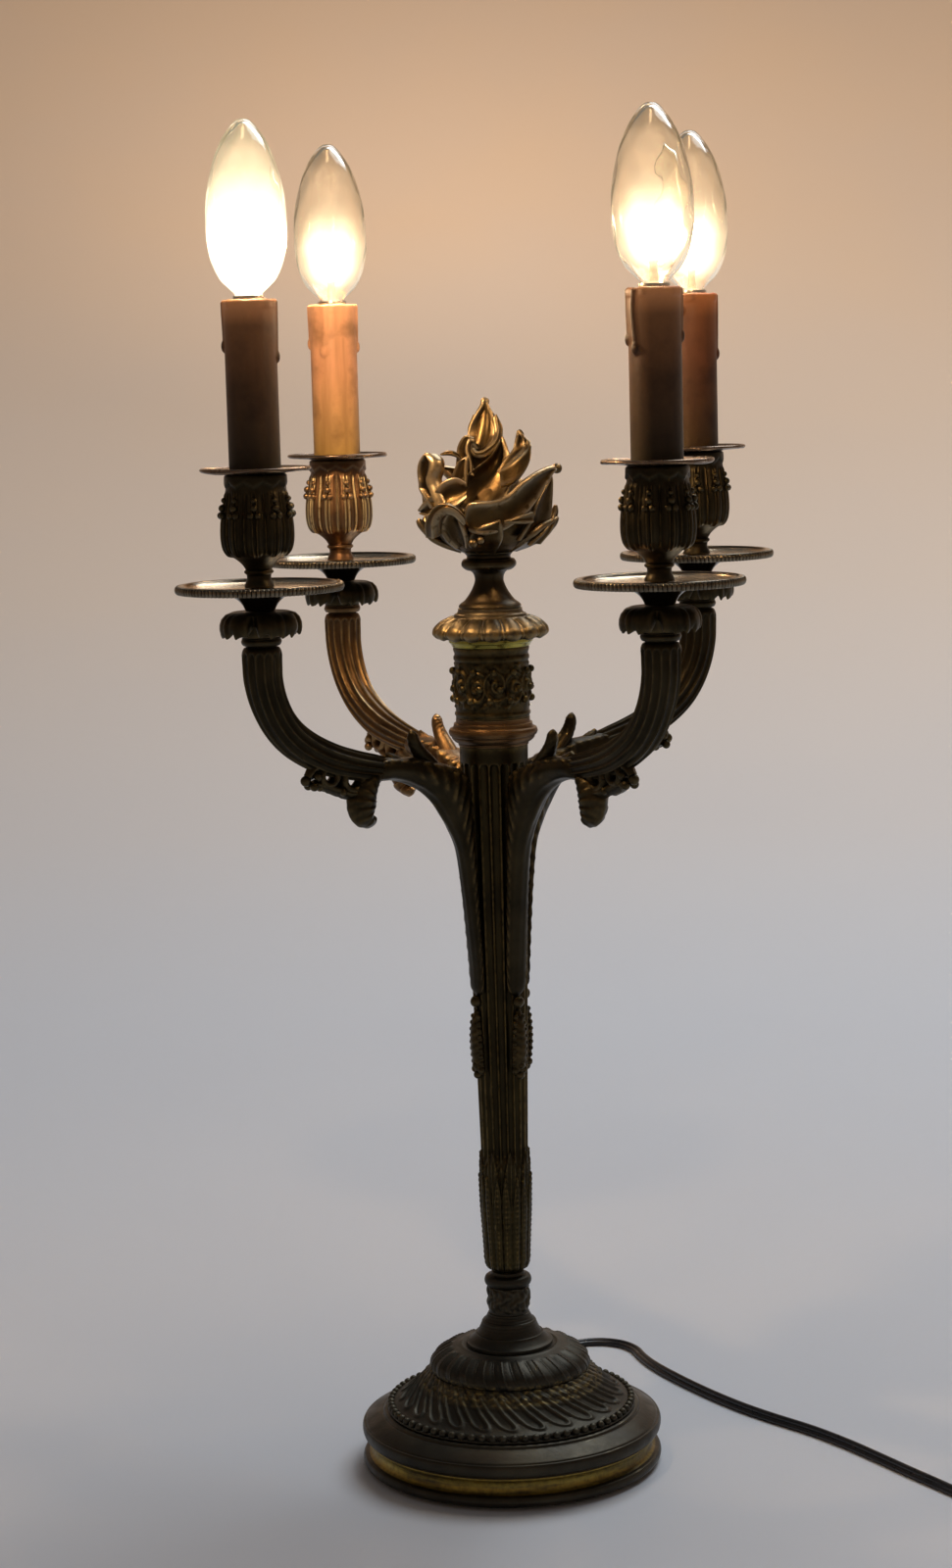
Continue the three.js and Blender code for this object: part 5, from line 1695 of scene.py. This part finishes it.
        hood = (2.3, -1.6, [
            [-27.2, 446.5, 28.5, -22.0, 446.0, 28], [-27.0, 452.5, 30.5, -21.8, 451.8, 31.5],
            [-23.0, 459.4, 30.5, -19.8, 455.2, 32.5], [-17.4, 460.6, 30, -16.6, 455.8, 32.4],
            [-12.4, 457.0, 29, -13.2, 453.2, 31], [-10.2, 452.8, 28, -11.4, 450.8, 29]])
        throat = (1.6, 2.4, [
            [-15.0, 440.0, 20, -9.5, 440.4, 21], [-20.5, 445.5, 25, -9.6, 445.4, 26],
            [-21.5, 451.5, 28, -11.6, 451.0, 28.5], [-18.8, 456.0, 28.5, -13.6, 455.0, 28.5]])
        thumb = (4.0, -0.4, [
            [-25.2, 458.0, 27.5, -17.6, 460.0, 25], [-29.0, 465.0, 29.4, -20.6, 467.0, 26],
            [-29.6, 470.0, 29.8, -22.0, 471.4, 26.4], [-30.3, 474.6, 30.4, -20.8, 475.4, 25.4],
            [-29.4, 479.6, 29.6, -20.4, 479.6, 24.6], [-26.4, 483.2, 27, -22.8, 483.0, 25.4]])
        thorn = (1.0, 0.0, [
            [-10.0, 479.0, 16, -9.5, 474.5, 16], [-13.8, 483.6, 18, -12.4, 480.2, 18],
            [-17.4, 484.2, 20, -16.2, 482.0, 20], [-20.8, 482.9, 22, -20.6, 482.1, 22]])
        flank = (1.5, 1.6, [
            [13.0, 443.0, 25, 25.0, 445.0, 27], [18.5, 451.5, 28, 28.6, 453.0, 30],
            [22.0, 459.5, 29.5, 29.6, 461.0, 31], [26.5, 467.0, 30.5, 30.0, 468.0, 31.5],
            [29.2, 471.6, 31.2, 29.8, 471.8, 31.4]])
        prong = (1.3, 0.6, [
            [18.0, 440.5, 24, 24.0, 441.0, 26], [25.0, 446.5, 28.5, 29.0, 447.0, 30.5],
            [29.4, 452.6, 31, 31.8, 453.6, 32.2], [31.2, 458.0, 32.2, 31.8, 458.0, 32.4]])
        barb = (1.2, 0.0, [
            [20.0, 456.0, 29, 20.0, 450.6, 29], [14.0, 454.6, 30, 14.0, 450.8, 30], [7.4, 452.6, 30, 7.4, 451.4, 30]])
        ruff = (1.5, -0.6, np.array([
            [-5.0, 438.4, 13, 5.0, 438.4, 13], [-7.5, 441.6, 20, 6.5, 440.6, 20],
            [-7.6, 445.6, 25.5, 8.5, 443.6, 26], [-3.6, 449.4, 28.5, 9.6, 447.4, 29.5],
            [3.0, 452.0, 31, 9.4, 450.6, 31.6], [8.0, 453.6, 32, 8.6, 453.2, 32]]))
        low_ruff = (1.2, -0.8, ruff[2] * [1, 0.991, 0.88, 1, 0.991, 0.88] + [0, 3.6, 0, 0, 3.6, 0])
        front = (sweep, deep, inside, outside, jay, spire, curl, point)
        sides = (lip, hood, throat, thumb, thorn, flank, prong, barb)
        turns = (
            (sweep, (150,)), (deep, (175,)), (inside, (140,)), (outside, (140,)), (jay, (180,)), (spire, (180,)),
            (flank, (180,)), (lip, (195,)), (ruff, (-95, -128, 66, 98, 132, 166, 200)), (low_ruff, (-70, -6)),
        )
        again = [self.lick(*each, turn) for each, angles in turns for turn in angles]
        return [self.lick(*each) for each in (*front, *sides)] + again

    def flame(self) -> None:
        """The flame: a turned core, licks round it, a pearl at its tip and three at its sides."""
        core = turned(
            spline([[0, 451.3], (3.3, 451.3), (3.3, 437.1), (11.0, 437.1), [16.4, 438.8], [21.0, 443.0],
                    [23.4, 449.0], [22.0, 456.0], [18.4, 463.0], [14.8, 470.0], [11.4, 478.0], [8.8, 485.0],
                    [7.0, 491.0], [5.6, 496.0], [4.0, 500.6], [2.2, 504.0], [1.5, 505.6], [0, 506.0]], 6),
            sides=96,
            relief=lambda r, z, a: 0.12 * r * np.cos(3 * a - (z - 437) / 7.0) * ease(z, 452.0, 468.0),
        )
        out, up = np.array([0.2, 32.6, 26.4, 25.6]), np.array([506.0, 474.6, 442.4, 443.8])
        angle = np.radians(np.array([-self.view_turn, -4.0, 254.0, 262.0]) + self.view_turn)
        pearls = ball(16, 12).repeated(about(out, up, angle), [2.1, 2.4, 2.1, 1.7])
        shape = joined([core, pearls, *self.licks()])
        dressed("flame_cast", shape, FLAME_BRONZE, "finial", ("flame",), ROUND_EDGE)

    def build(self) -> None:
        """Makes cap, spool and flame, which lift out together."""
        self.cap()
        self.spool()
        self.flame()


# Arms


@dataclass
class Branch(OnArm):
    """One cast arm: fluted tube, bracket with its husk, pierced scroll, hanging leaf and leaf capital."""

    flutes: int = 14

    def tube(self) -> Shape:
        """Fluted tube: a circle cut by round hollows, carried along the arm, thinner towards its root.

        The hollows end in half circles under the neck ring, where the tube rounds off.

        Returns:
            The shape.
        """
        knots = [[30.0, 0, 331.1], [37.6, 0, 336.4], [47.4, 0, 339.6], [57.3, 0, 341.2], [68.2, 0, 342.8],
                 [80.2, 0, 345.4], [92.2, 0, 349.1], [103.2, 0, 354.6], [112.0, 0, 361.2], [118.4, 0, 369.2],
                 [122.6, 0, 378.2], [124.7, 0, 387.0], [125.0, 0, 394.0], [125.0, 0, 399.0], [125.0, 0, 402.4]]
        path = spline(knots, 7)
        way = travelled(path)
        left = way[-1] - way
        share = way / way[-1]
        size = np.interp(share, [0, 0.2, 0.32, 0.5, 0.7, 1.0], [4.8, 4.9, 6.6, 7.9, 8.3, 9.1])
        size = size - 2.3 * (1 - tapered(left, 4.5))
        angle = round_steps(self.flutes * 9)[None, :]
        place = np.abs(across(angle, self.flutes))
        width = 0.41 * tapered(left - 2.8, 1.8)
        radius = size - 0.95 * channel(place, width) * ease(share, 0.12, 0.2)
        gold = bell(place - 0.45, 0.05) * within(share, 0.2, 0.95, 0.02)
        section = np.stack([radius * np.cos(angle), radius * np.sin(angle)], -1)
        return carried(path, section, gild=self.setting.arm_gilt * gold)

    def neck(self) -> Shape:
        """Turned ring above the flutes, and the nipple that carries the candle.

        Returns:
            The shape.
        """
        line = spline(
            [[0, 401.0], (6.5, 401.0), (6.9, 402.6), [8.3, 403.1], [9.0, 404.6], (8.6, 405.9), [8.2, 406.4],
             (4.0, 406.4), (4.0, 489.0), [0, 489.0]], 4)
        return turned(line, sides=48).placed(shift=(self.reach, 0, 0))

    def bracket(self) -> Shape:
        """Leaf that climbs the stem and curls out under the arm.

        Each ring is an oval between an outer and an inner line. Three long ribs run down its outside, as
        cosines across it. Small leaves lie on its flanks, as a cosine that slants across, and a row of small
        knops runs along its upper edge, as a sine of the way.

        Returns:
            The shape.
        """
        rows = [
            [13.2, 229.0, 11.9, 229.0, 1.6], [14.6, 233.0, 11.9, 233.0, 4.4], [15.2, 244.0, 12.2, 244.0, 5.2],
            [17.0, 263.0, 12.8, 263.0, 5.4], [19.0, 281.0, 13.4, 281.0, 5.6], [21.8, 299.0, 14.2, 300.0, 6.0],
            [26.5, 309.6, 15.0, 314.0, 6.8], [30.2, 315.4, 15.6, 326.0, 7.6], [36.0, 323.6, 19.0, 336.0, 8.2],
            [42.0, 329.0, 27.0, 340.0, 8.2], [47.4, 332.2, 36.0, 343.0, 7.8], [52.8, 334.6, 44.0, 345.2, 7.4],
            [59.0, 336.2, 53.0, 346.0, 7.0], [65.0, 336.6, 61.0, 347.0, 6.6], [69.0, 339.0, 67.0, 346.0, 4.4],
        ]
        line = spline(rows, 9)
        low, high = upright(line), upright(line[:, 2:])
        way = travelled(low)
        c, s = (part[None, :] for part in oval(56))
        ribs = 0.035 * np.cos(3 * np.pi * c) * ease(way, 2.0, 12.0)
        knops = np.abs(np.sin(np.pi * way / 4.4)) * bell(s - 0.72, 0.12) * ease(way, 60.0, 80.0)
        strokes = (0.5 + 0.5 * np.cos(2 * np.pi * (way / 6.6 - 1.3 * s))) ** 2 * within(s, -0.35, 0.62, 0.15)
        strokes = strokes * within(way, 6.0, 112.0, 8.0)
        swell = 1 + (s < 0.2) * ribs + 0.08 * knops
        middle, half = (low + high)[:, None] / 2, (high - low)[:, None] / 2
        grid = middle + (s * swell)[..., None] * half
        grid[..., 1] += line[:, 4:5] * (1 + 0.25 * knops) * c + 0.75 * strokes * np.sign(c) * np.abs(c) ** 0.5
        return surface(grid, self.setting.arm_gilt * knops + 0.13 * strokes)

    def husk(self) -> Shape:
        """Drop below the bracket: a narrow bud edged with small knobs, berries at its foot, a bead on top.

        Returns:
            The shape.
        """
        line = spline([[12.8, 192, 2.4, 1.6], [13.4, 196, 3.1, 2.3], [14.0, 203, 3.4, 2.6], [14.3, 210, 3.2, 2.5],
                       [14.2, 217, 2.5, 2.0], [13.8, 221.4, 1.5, 1.2], [13.6, 223, 0.5, 0.5]], 9)
        path = upright(line)
        c, s = oval(28)
        ribs = 1 + 0.16 * np.abs(np.cos(np.pi * (path[:, 2:] / 3.4 - 0.5 * np.abs(c))))
        section = np.stack([line[:, 2:3] * c * ribs, line[:, 3:4] * s * ribs], -1)
        bud = carried(path, section, gild=0.05)
        up = np.repeat(np.linspace(197.5, 219.5, 8), 2)
        out, half = np.interp(up, line[:, 1], line[:, 0]), np.interp(up, line[:, 1], line[:, 2])
        knobs = np.stack([out + 0.6, np.tile([-1.0, 1.0], 8) * half, up], 1)
        foot = [[14.2, 0, 191.6], [13.8, -2.5, 194.0], [13.8, 2.5, 194.0], [15.2, 0, 196.4], [14.0, 0, 226.6]]
        return joined([bud, ball(8, 6).repeated(knobs, 1.25), ball(14, 10).repeated(foot, [2.1, 1.9, 1.9, 1.8, 2.9])])

    def scroll(self) -> Shape:
        """Pierced scroll: two rings, strands that link them, berries at its nose and the hanging leaf.

        The leaf is a full body bent into a hook, with teeth cut into its edges.

        Returns:
            The shape.
        """
        shapes = []
        a = np.linspace(0, 2 * np.pi, 33)
        c, s = oval(14)
        for x, z, radius, thick in ((79.9, 338.6, 4.9, 2.3), (92.8, 341.4, 4.0, 2.1)):
            ring = np.stack([x + radius * np.cos(a), 0 * a, z + radius * np.sin(a)], 1)
            shapes.append(carried(ring, np.stack([3.8 * c, thick * s], -1)))
        shapes += [
            leaf([[66, 338, 3.4, 2.2], [72, 334.0, 4.0, 2.4], [80, 332.2, 4.0, 2.3], [88, 334.6, 3.6, 2.2],
                  [95, 337.4, 3.2, 2.0], [101, 338.8, 1.8, 1.4]], 16, 5),
            leaf([[85, 348.6, 4.2, 2.2], [93, 348.6, 4.6, 2.4], [99.5, 346.2, 4.0, 2.1], [103.6, 341.8, 2.4, 1.6]],
                 16, 5, 0.15),
            leaf([[66.5, 340.0, 4.6, 3.0], [71.0, 336.0, 6.6, 5.0], [74.2, 331.0, 7.6, 6.3], [75.0, 326.0, 7.6, 6.5],
                  [74.2, 321.8, 6.8, 5.4], [71.8, 319.2, 5.0, 3.4], [69.4, 318.6, 3.0, 2.0],
                  [67.6, 320.0, 1.0, 1.0]], 28, 8, 0.14, 0.5, 0.05),
        ]
        nose = [[104.4, 0, 340.2], [101.6, 2.5, 337.6], [101.6, -2.5, 337.6], [99.8, 3.0, 342.0],
                [99.8, -3.0, 342.0], [97.0, 0, 336.8], [86.4, 2.8, 333.6], [86.4, -2.8, 333.6]]
        shapes.append(ball(12, 8).repeated(nose, [2.5, 2.1, 2.1, 2.0, 2.0, 2.1, 1.8, 1.8]))
        return joined(shapes)

    def tips(self) -> Shape:
        """Stout rounded horn that stands up from the arm and bends back, with a low one beyond it.

        Returns:
            The shape.
        """
        main = leaf([[32, 336, 5.0, 3.2], [37.5, 342.0, 4.6, 3.4], [41.8, 346.6, 4.0, 3.1], [44.4, 350.6, 3.3, 2.8],
                     [45.5, 353.6, 3.0, 2.6], [45.6, 355.4, 2.7, 2.3], [45.4, 356.6, 2.0, 1.7],
                     [45.0, 357.2, 0.9, 0.9]], 20, 7, 0.0, 0.3)
        side = leaf([[49, 340.6, 2.4, 2.2], [54, 343.6, 3.4, 2.2], [58, 346.0, 2.8, 1.8],
                     [60.4, 348.4, 0.8, 0.8]], 16, 6)
        return joined([main, side])

    def capital(self) -> Shape:
        """Leaf capital: a canopy of four drooping leaves round a core, cut by valleys and edged with teeth.

        A closed outline is carried round. Between two leaves it falls back to a smaller radius and its edge
        rises; a saw wave in the angle cuts the teeth, and cosines in the angle make the veins.

        Returns:
            The shape.
        """
        rows = np.array([
            [4.3, 418.1, 0, 0], [9.0, 418.1, 0, 0], [12.8, 417.9, 0.1, 0], [15.8, 416.9, 0.6, 0],
            [17.6, 415.0, 1, 0], [18.4, 412.6, 1, 0.1], [18.5, 410.2, 1, 0.4], [18.2, 408.2, 1, 0.9],
            [17.7, 406.9, 1, 1], [16.9, 406.7, 1, 1], [16.6, 408.6, 1, 0.8], [15.8, 411.4, 0.8, 0.3],
            [13.6, 413.6, 0.2, 0], [10.4, 414.0, 0, 0], [9.2, 412.0, 0, 0], [9.0, 409.0, 0, 0], [8.5, 406.7, 0, 0],
            [4.3, 406.7, 0, 0],
        ])
        a = round_steps(240)[None, :]
        r, z, out, edge = (rows[:, i : i + 1] for i in range(4))
        place = across(a + np.pi / 4, 4)
        valley = bell(np.abs(place) - 0.5, 0.085)
        teeth = saw(20 * a / (2 * np.pi)) * (1 + 0.4 * np.sin(7 * a))
        veins = np.cos(20 * a + 1.2 * np.sin(8 * a)) * ease(out, 0.05, 0.6) * (1 - 0.6 * edge)
        radius = r - valley * out * np.clip(r - 13.0, 0, None) + 0.20 * veins + 0.45 * out * bell(place, 0.035)
        height = z + valley * edge * 4.6 + edge * 1.9 * teeth
        return surface(about(radius, height, a), 0.04 * valley + 0 * r, looped=True)

    def build(self) -> None:
        """Makes the arm, which reaches its corner by itself, and its capital."""
        arm = joined([self.tube(), self.neck(), self.bracket(), self.husk(), self.scroll(), self.tips()])
        self.put("arm_cast", arm, self.setting.arm, "bronze", "arm", CAST_EDGE, out=False)
        self.put("capital_leaves", self.capital(), BRONZE, "bronze", "capital", CAST_EDGE)


# Candle groups


@dataclass
class Candle(OnArm):
    """What stands on one arm: drip pan, urn-shaped cup, bobeche, wax sleeve and lamp holder."""

    beads: int = 116
    panels: int = 10
    wax_top: float = 553.6

    def pan(self) -> Shape:
        """Drip pan: bell foot, wide dish with a raised lip, and a rim whose girth swells bead by bead.

        Returns:
            The shape.
        """
        outer = spline(
            [[4.3, 418.4], (6.5, 418.4), [7.6, 420.6], [9.4, 422.8], [12.8, 424.9], [18.0, 426.1], [25.5, 426.5],
             (34.6, 426.6), [36.0, 426.7], (36.2, 427.3), [35.9, 428.4], (36.2, 429.5), [36.0, 430.1], [35.0, 430.4],
             [33.9, 430.2], (33.2, 429.6), [32.0, 428.5], [29.0, 428.3], [20.0, 428.2], [10.0, 428.4],
             [4.3, 428.4]], 5)

        # Painted reflection: the dish's top face gets the pan's pale gilt colour.
        def gold(r: Array, z: Array, a: Array) -> Array:
            """Pale in the dish: a painted reflection of the bright wall, laid on as gilding."""
            return 1.0 * (z > 427.6) * (r < 33) + 0 * a

        dish = turned(outer, [[4.3, 425.0], [4.3, 422.0]], 144, gild=gold)
        a = round_steps(6 * self.beads)[None, :]
        c, s = (part[:, None] for part in oval(10))
        swell = 0.6 + 0.4 * np.sqrt(np.abs(np.sin(self.beads * a / 2)))
        rim = surface(about(36.1 + 1.3 * swell * c, 428.4 + 1.9 * swell * s, a), looped=True)
        return joined([dish, rim])

    def cup_lift(self, r: Array, z: Array, a: Array) -> Array:
        """Upright leaves: each panel swells, with pairs of raised lines at its middle and its sides.

        Teeth hang at its foot. Under the mouth runs a smooth band with a jagged lower edge.

        Args:
            r: Radius.
            z: Height.
            a: Angle.

        Returns:
            Lift in millimetres.
        """
        place = np.abs(across(a, self.panels))
        teeth, jag = 441.4 + 4.8 * place, 472.2 + 4.4 * place
        swell = 0.45 * np.sin(4 * np.pi * (place - 0.09)) * (place > 0.09) + 0.75 * self.lines(place)
        body = ease(z - teeth, 0.0, 1.4) * (1 - ease(z, 469.0, 471.5))
        band = 0.8 * ease(z - jag, 0.0, 0.9) * (1 - ease(z, 477.4, 478.2))
        return body * swell + band + 0.3 * within(z, 434.6, 435.8, 0.5)

    def lines(self, place: Array) -> Array:
        """Two fine lines close together in the middle of a panel, and one where two panels meet."""
        return np.clip(bell(place - 0.09, 0.036) + bell(place - 0.5, 0.045), 0, 1)

    def cup_gold(self, r: Array, z: Array, a: Array) -> Array:
        """Pale gilding on the leaves' lines, at the corner's share, which also paints light: far more on the lit
        back-left cup.
        """
        return self.setting.cup_gilt_and_light * self.lines(np.abs(across(a, self.panels))) * within(z, 444.5, 469.0, 2.0)

    def cup(self) -> Shape:
        """The cup, with a cluster of four berries where two leaves meet.

        Returns:
            The shape.
        """
        outer = spline(
            [[4.3, 428.7], [6.6, 428.7], [6.4, 430.0], [5.4, 432.2], (5.4, 434.6), [6.2, 435.4], (5.8, 436.6),
             [7.4, 439.0], [10.2, 441.4], [13.2, 443.2], [14.9, 445.6], [15.7, 449.4], [15.8, 454.0], [15.4, 458.6],
             [14.6, 462.8], [13.9, 466.8], [13.5, 470.8], [13.2, 474.4], (13.0, 478.3), [10.8, 478.3]], 5)
        shell = turned(outer, [[10.8, 449.0], [8.0, 446.0], [4.3, 443.2]], 320, self.cup_lift, self.cup_gold)
        a = round_steps(self.panels) + np.pi / self.panels
        spots = ((15.9, 460.6, -0.1), (15.9, 460.6, 0.1), (15.4, 463.8, 0.0), (14.5, 467.2, 0.0))
        centres = np.vstack([about(out, up, a + turn) for out, up, turn in spots])
        berries = ball(10, 7).repeated(centres, np.repeat([1.6, 1.6, 1.7, 1.3], self.panels))
        return joined([shell, berries])

    def bobeche(self) -> Shape:
        """Thin pressed dish with a rolled edge and a faint ring.

        Returns:
            The shape.
        """
        outer = spline(
            [[4.3, 478.6], [13.6, 478.6], [16.0, 478.8], (22.8, 479.3), [23.8, 479.4], [24.5, 480.1], [24.3, 480.9],
             [23.5, 481.2], (22.8, 480.8), [17.0, 480.1], (14.6, 479.8), [4.3, 479.8]], 5)

        def lift(r: Array, z: Array, a: Array) -> Array:
            """Small dents round the edge."""
            return (0.35 * np.sin(2 * a + 1) + 0.2 * np.sin(5 * a)) * ease(r, 16.0, 24.0) * (z < 480.0)

        return turned(outer, [[4.3, 479.4], [4.3, 479.0]], 120, lift)

    def sleeve_lift(self, r: Array, z: Array, a: Array) -> Array:
        """Wax: drips that narrow on their way down and end in a drop, and a lumpy rim they start from.

        Args:
            r: Radius.
            z: Height.
            a: Angle.

        Returns:
            Lift in millimetres.
        """
        top = self.wax_top
        total = 0.35 * within(z, top - 3.0, top - 0.4, 1.2) * (1 + 0.5 * np.sin(5 * a) + 0.3 * np.sin(11 * a + 1))
        for angle, length, thick in self.setting.drips:
            wander = 0.05 * np.sin(z / 5.0 + angle)
            off = ((a - math.radians(angle) - wander + np.pi) % (2 * np.pi) - np.pi) * 11.5
            foot = top - length
            run = within(z, foot, top - 0.6, 0.7) * (0.7 + 0.3 * ease(z, foot, top)) * bell(off, 1.6)
            drop = 1.2 * np.sqrt(np.clip(1 - ((z - foot - 1.4) / 2.9) ** 2 - (off / 2.2) ** 2, 0, 1))
            total = np.maximum(total, thick * np.maximum(0.9 * run, drop))
        return total

    def sleeve(self) -> Shape:
        """The wax sleeve: a tube with drips, and a rounded rim.

        Returns:
            The shape.
        """
        wall = straight(11.4, np.r_[np.linspace(481.0, 515.0, 12), np.linspace(516.5, 552.6, 62)])
        foot, rim = [[10.3, 480.1], [11.2, 480.1], [11.4, 480.5]], [[11.2, 553.3], [10.8, self.wax_top]]
        outer = np.vstack([foot, wall, rim])

        def stain_and_shade(r: Array, z: Array, a: Array) -> Array:
            """Where the wax is thick it is darkened: partly stain, partly painted shade on the drips."""
            return self.setting.drip_stain_and_shade * ease(self.sleeve_lift(r, z, a), 0.45, 0.8)

        return turned(outer, [[10.4, 553.4], [10.3, 552.4], [10.3, 500.0]], 144, self.sleeve_lift, stain_and_shade)

    def holder(self) -> Shape:
        """Moulded lamp holder: a plain tube inside the sleeve, open at the top for the bulb.

        Returns:
            The shape.
        """
        outer = spline([[4.3, 480.1], [9.0, 480.1], (9.4, 480.6), (9.4, 552.6), [9.0, 553.0], [7.7, 553.0],
                        (7.35, 552.7), (7.35, 528.8), [0.0, 528.8]], 4)
        lower = np.array([[0.0, 489.4], [4.3, 489.4], [4.3, 480.1]])
        return turned(np.vstack([lower[:-1], outer]), sides=64)

    def build(self) -> None:
        """Makes the group from the pan up."""
        self.put("pan_turned", self.pan(), PAN_BRONZE, "bronze", "drip_pan")
        self.put("cup_cast", self.cup(), self.setting.cup, "bronze", "candle_cup", CAST_EDGE)
        self.put("bobeche_dish", self.bobeche(), ROSY_BRASS, "rosy_brass", "bobeche")
        self.put("sleeve_wax", self.sleeve(), self.setting.wax, "candle_sleeve", "candle_sleeve", ROUND_EDGE)
        self.put("holder_moulded", self.holder(), PHENOLIC, "holder_plastic", "lamp_holder")


@dataclass
class Bulb(OnArm):
    """Screw-in candle bulb: screw shell, contact, glass and what glows in it."""

    pitch: float = 2.82

    def shell(self) -> Shape:
        """Screw shell: a tube whose radius waves along a helix, drawn in below round the contact.

        Returns:
            The shape.
        """
        wall = straight(6.55, np.linspace(535.2, 552.0, 68))
        below = spline([[0, 531.4], (3.9, 531.4), [6.2, 534.4]], 4)
        above = spline(
            [[6.5, 552.8], [6.8, 553.6], [6.9, 554.6], (6.9, 555.4), (6.3, 555.4), (6.3, 536.0), [0, 535.8]], 4)

        def thread(r: Array, z: Array, a: Array) -> Array:
            """Rounded thread: a cosine in height less the turn."""
            wave = 0.28 * np.cos(2 * np.pi * (z / self.pitch - a / (2 * np.pi)))
            return wave * within(z, 535.6, 551.4, 0.8) * (r > 6.4) * (r < 6.6)

        return turned(np.vstack([below, wall, above]), sides=64, relief=thread)

    def button(self) -> Shape:
        """Domed contact button under the shell."""
        line = spline([[0, 529.1], [1.6, 529.15], [2.8, 529.5], [3.8, 530.4], (4.0, 531.1), [0, 531.1]], 4)
        return turned(line, sides=32)

    def glass(self) -> Shape:
        """Candle-shaped glass with a wall of 0.9 mm, faintly twisted.

        Returns:
            The shape.
        """
        outer = spline(
            [[6.0, 550.1], [6.0, 555.2], [6.4, 556.6], [8.6, 558.8], [12.4, 562.8], [15.6, 569.6], [17.3, 578.4],
             [17.7, 586.0], [17.3, 595.0], [15.9, 604.6], [13.2, 614.0], [9.6, 622.0], [6.0, 627.4], [3.4, 630.0],
             [1.7, 630.9], [0, 631.1]], 6)
        inner = spline([[0, 628.8], [2.6, 627.9], [8.2, 621.6], [12.2, 613.5], [14.9, 604.2], [16.4, 594.8],
                        [16.8, 586.0], [16.4, 578.6], [14.8, 570.2], [11.8, 563.8], [7.8, 559.4], [5.4, 556.8],
                        [5.1, 555.2], [5.1, 550.1]], 6)

        def twist(r: Array, z: Array, a: Array) -> Array:
            """Eight faint waves that turn as they climb."""
            return 0.07 * np.cos(8 * (a - z / 26)) * within(z, 562, 622, 6)

        return turned(outer, inner, 96, twist)

    def mount(self) -> Shape:
        """Glass mount and the two wires that hold the filament.

        Returns:
            The shape.
        """
        line = [[0, 550.4], [4.6, 550.4], [4.2, 553.0], [2.2, 556.4], [1.8, 562.0], [2.3, 565.0], [0, 565.4]]
        way = spline([[1.2, 0, 560], [2.0, 0, 567], [4.6, 0, 573], [4.6, 0, 576]], 5)
        round_wire = np.stack(oval(8), -1) / 4
        wires = [carried(way * (side, 1, 1), round_wire) for side in (-1, 1)]
        return joined([turned(spline(line, 5), sides=24), *wires])

    def filament(self) -> Shape:
        """Filament: a fine helix of 24 turns, bent into an arch between the two wires.

        Returns:
            The shape.
        """
        arch = np.linspace(0, np.pi, 241)
        wind = 48 * arch
        out = 1 + 0.16 * np.cos(wind)
        path = np.stack([-4.6 * np.cos(arch) * out, 0.7 * np.sin(wind), 576 + 6.5 * np.sin(arch) * out], 1)
        return carried(path, 0.42 * np.stack(oval(6), -1), (0.0, 0.0, 1.0))

    def build(self) -> None:
        """Makes the bulb on its two bodies."""
        body, contact = f"bulb_{self.corner.label}", f"contact_{self.corner.label}"
        self.put("screw_shell", self.shell(), NICKEL, "nickel", "bulb_cap", ROUND_EDGE, body)
        self.put("contact_solder", self.button(), SOLDER, "solder", "bulb_contact", body=contact)
        blown = self.put("bulb_blown", self.glass(), self.setting.glass, "bulb_glass", "bulb_glass", ROUND_EDGE, body)
        blown.visible_shadow = False
        self.put("bulb_mount", self.mount(), MOUNT_GLASS, "bulb_glass", body=body)
        self.put("bulb_filament", self.filament(), HOT_WIRE, "bulb_glass", body=body)


def main() -> None:
    """Builds the studio and every sub-assembly in order."""
    logging.basicConfig(level=logging.INFO, format="%(name)s: %(message)s")
    for assembly in (Studio, Flex, Foot, Dome, Column, Finial):
        assembly().build()
    for corner in Corner:
        for assembly in (Branch, Candle, Bulb):
            assembly(corner).build()
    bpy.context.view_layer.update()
    log.info("sizes written")


if __name__ == "__main__":
    main()
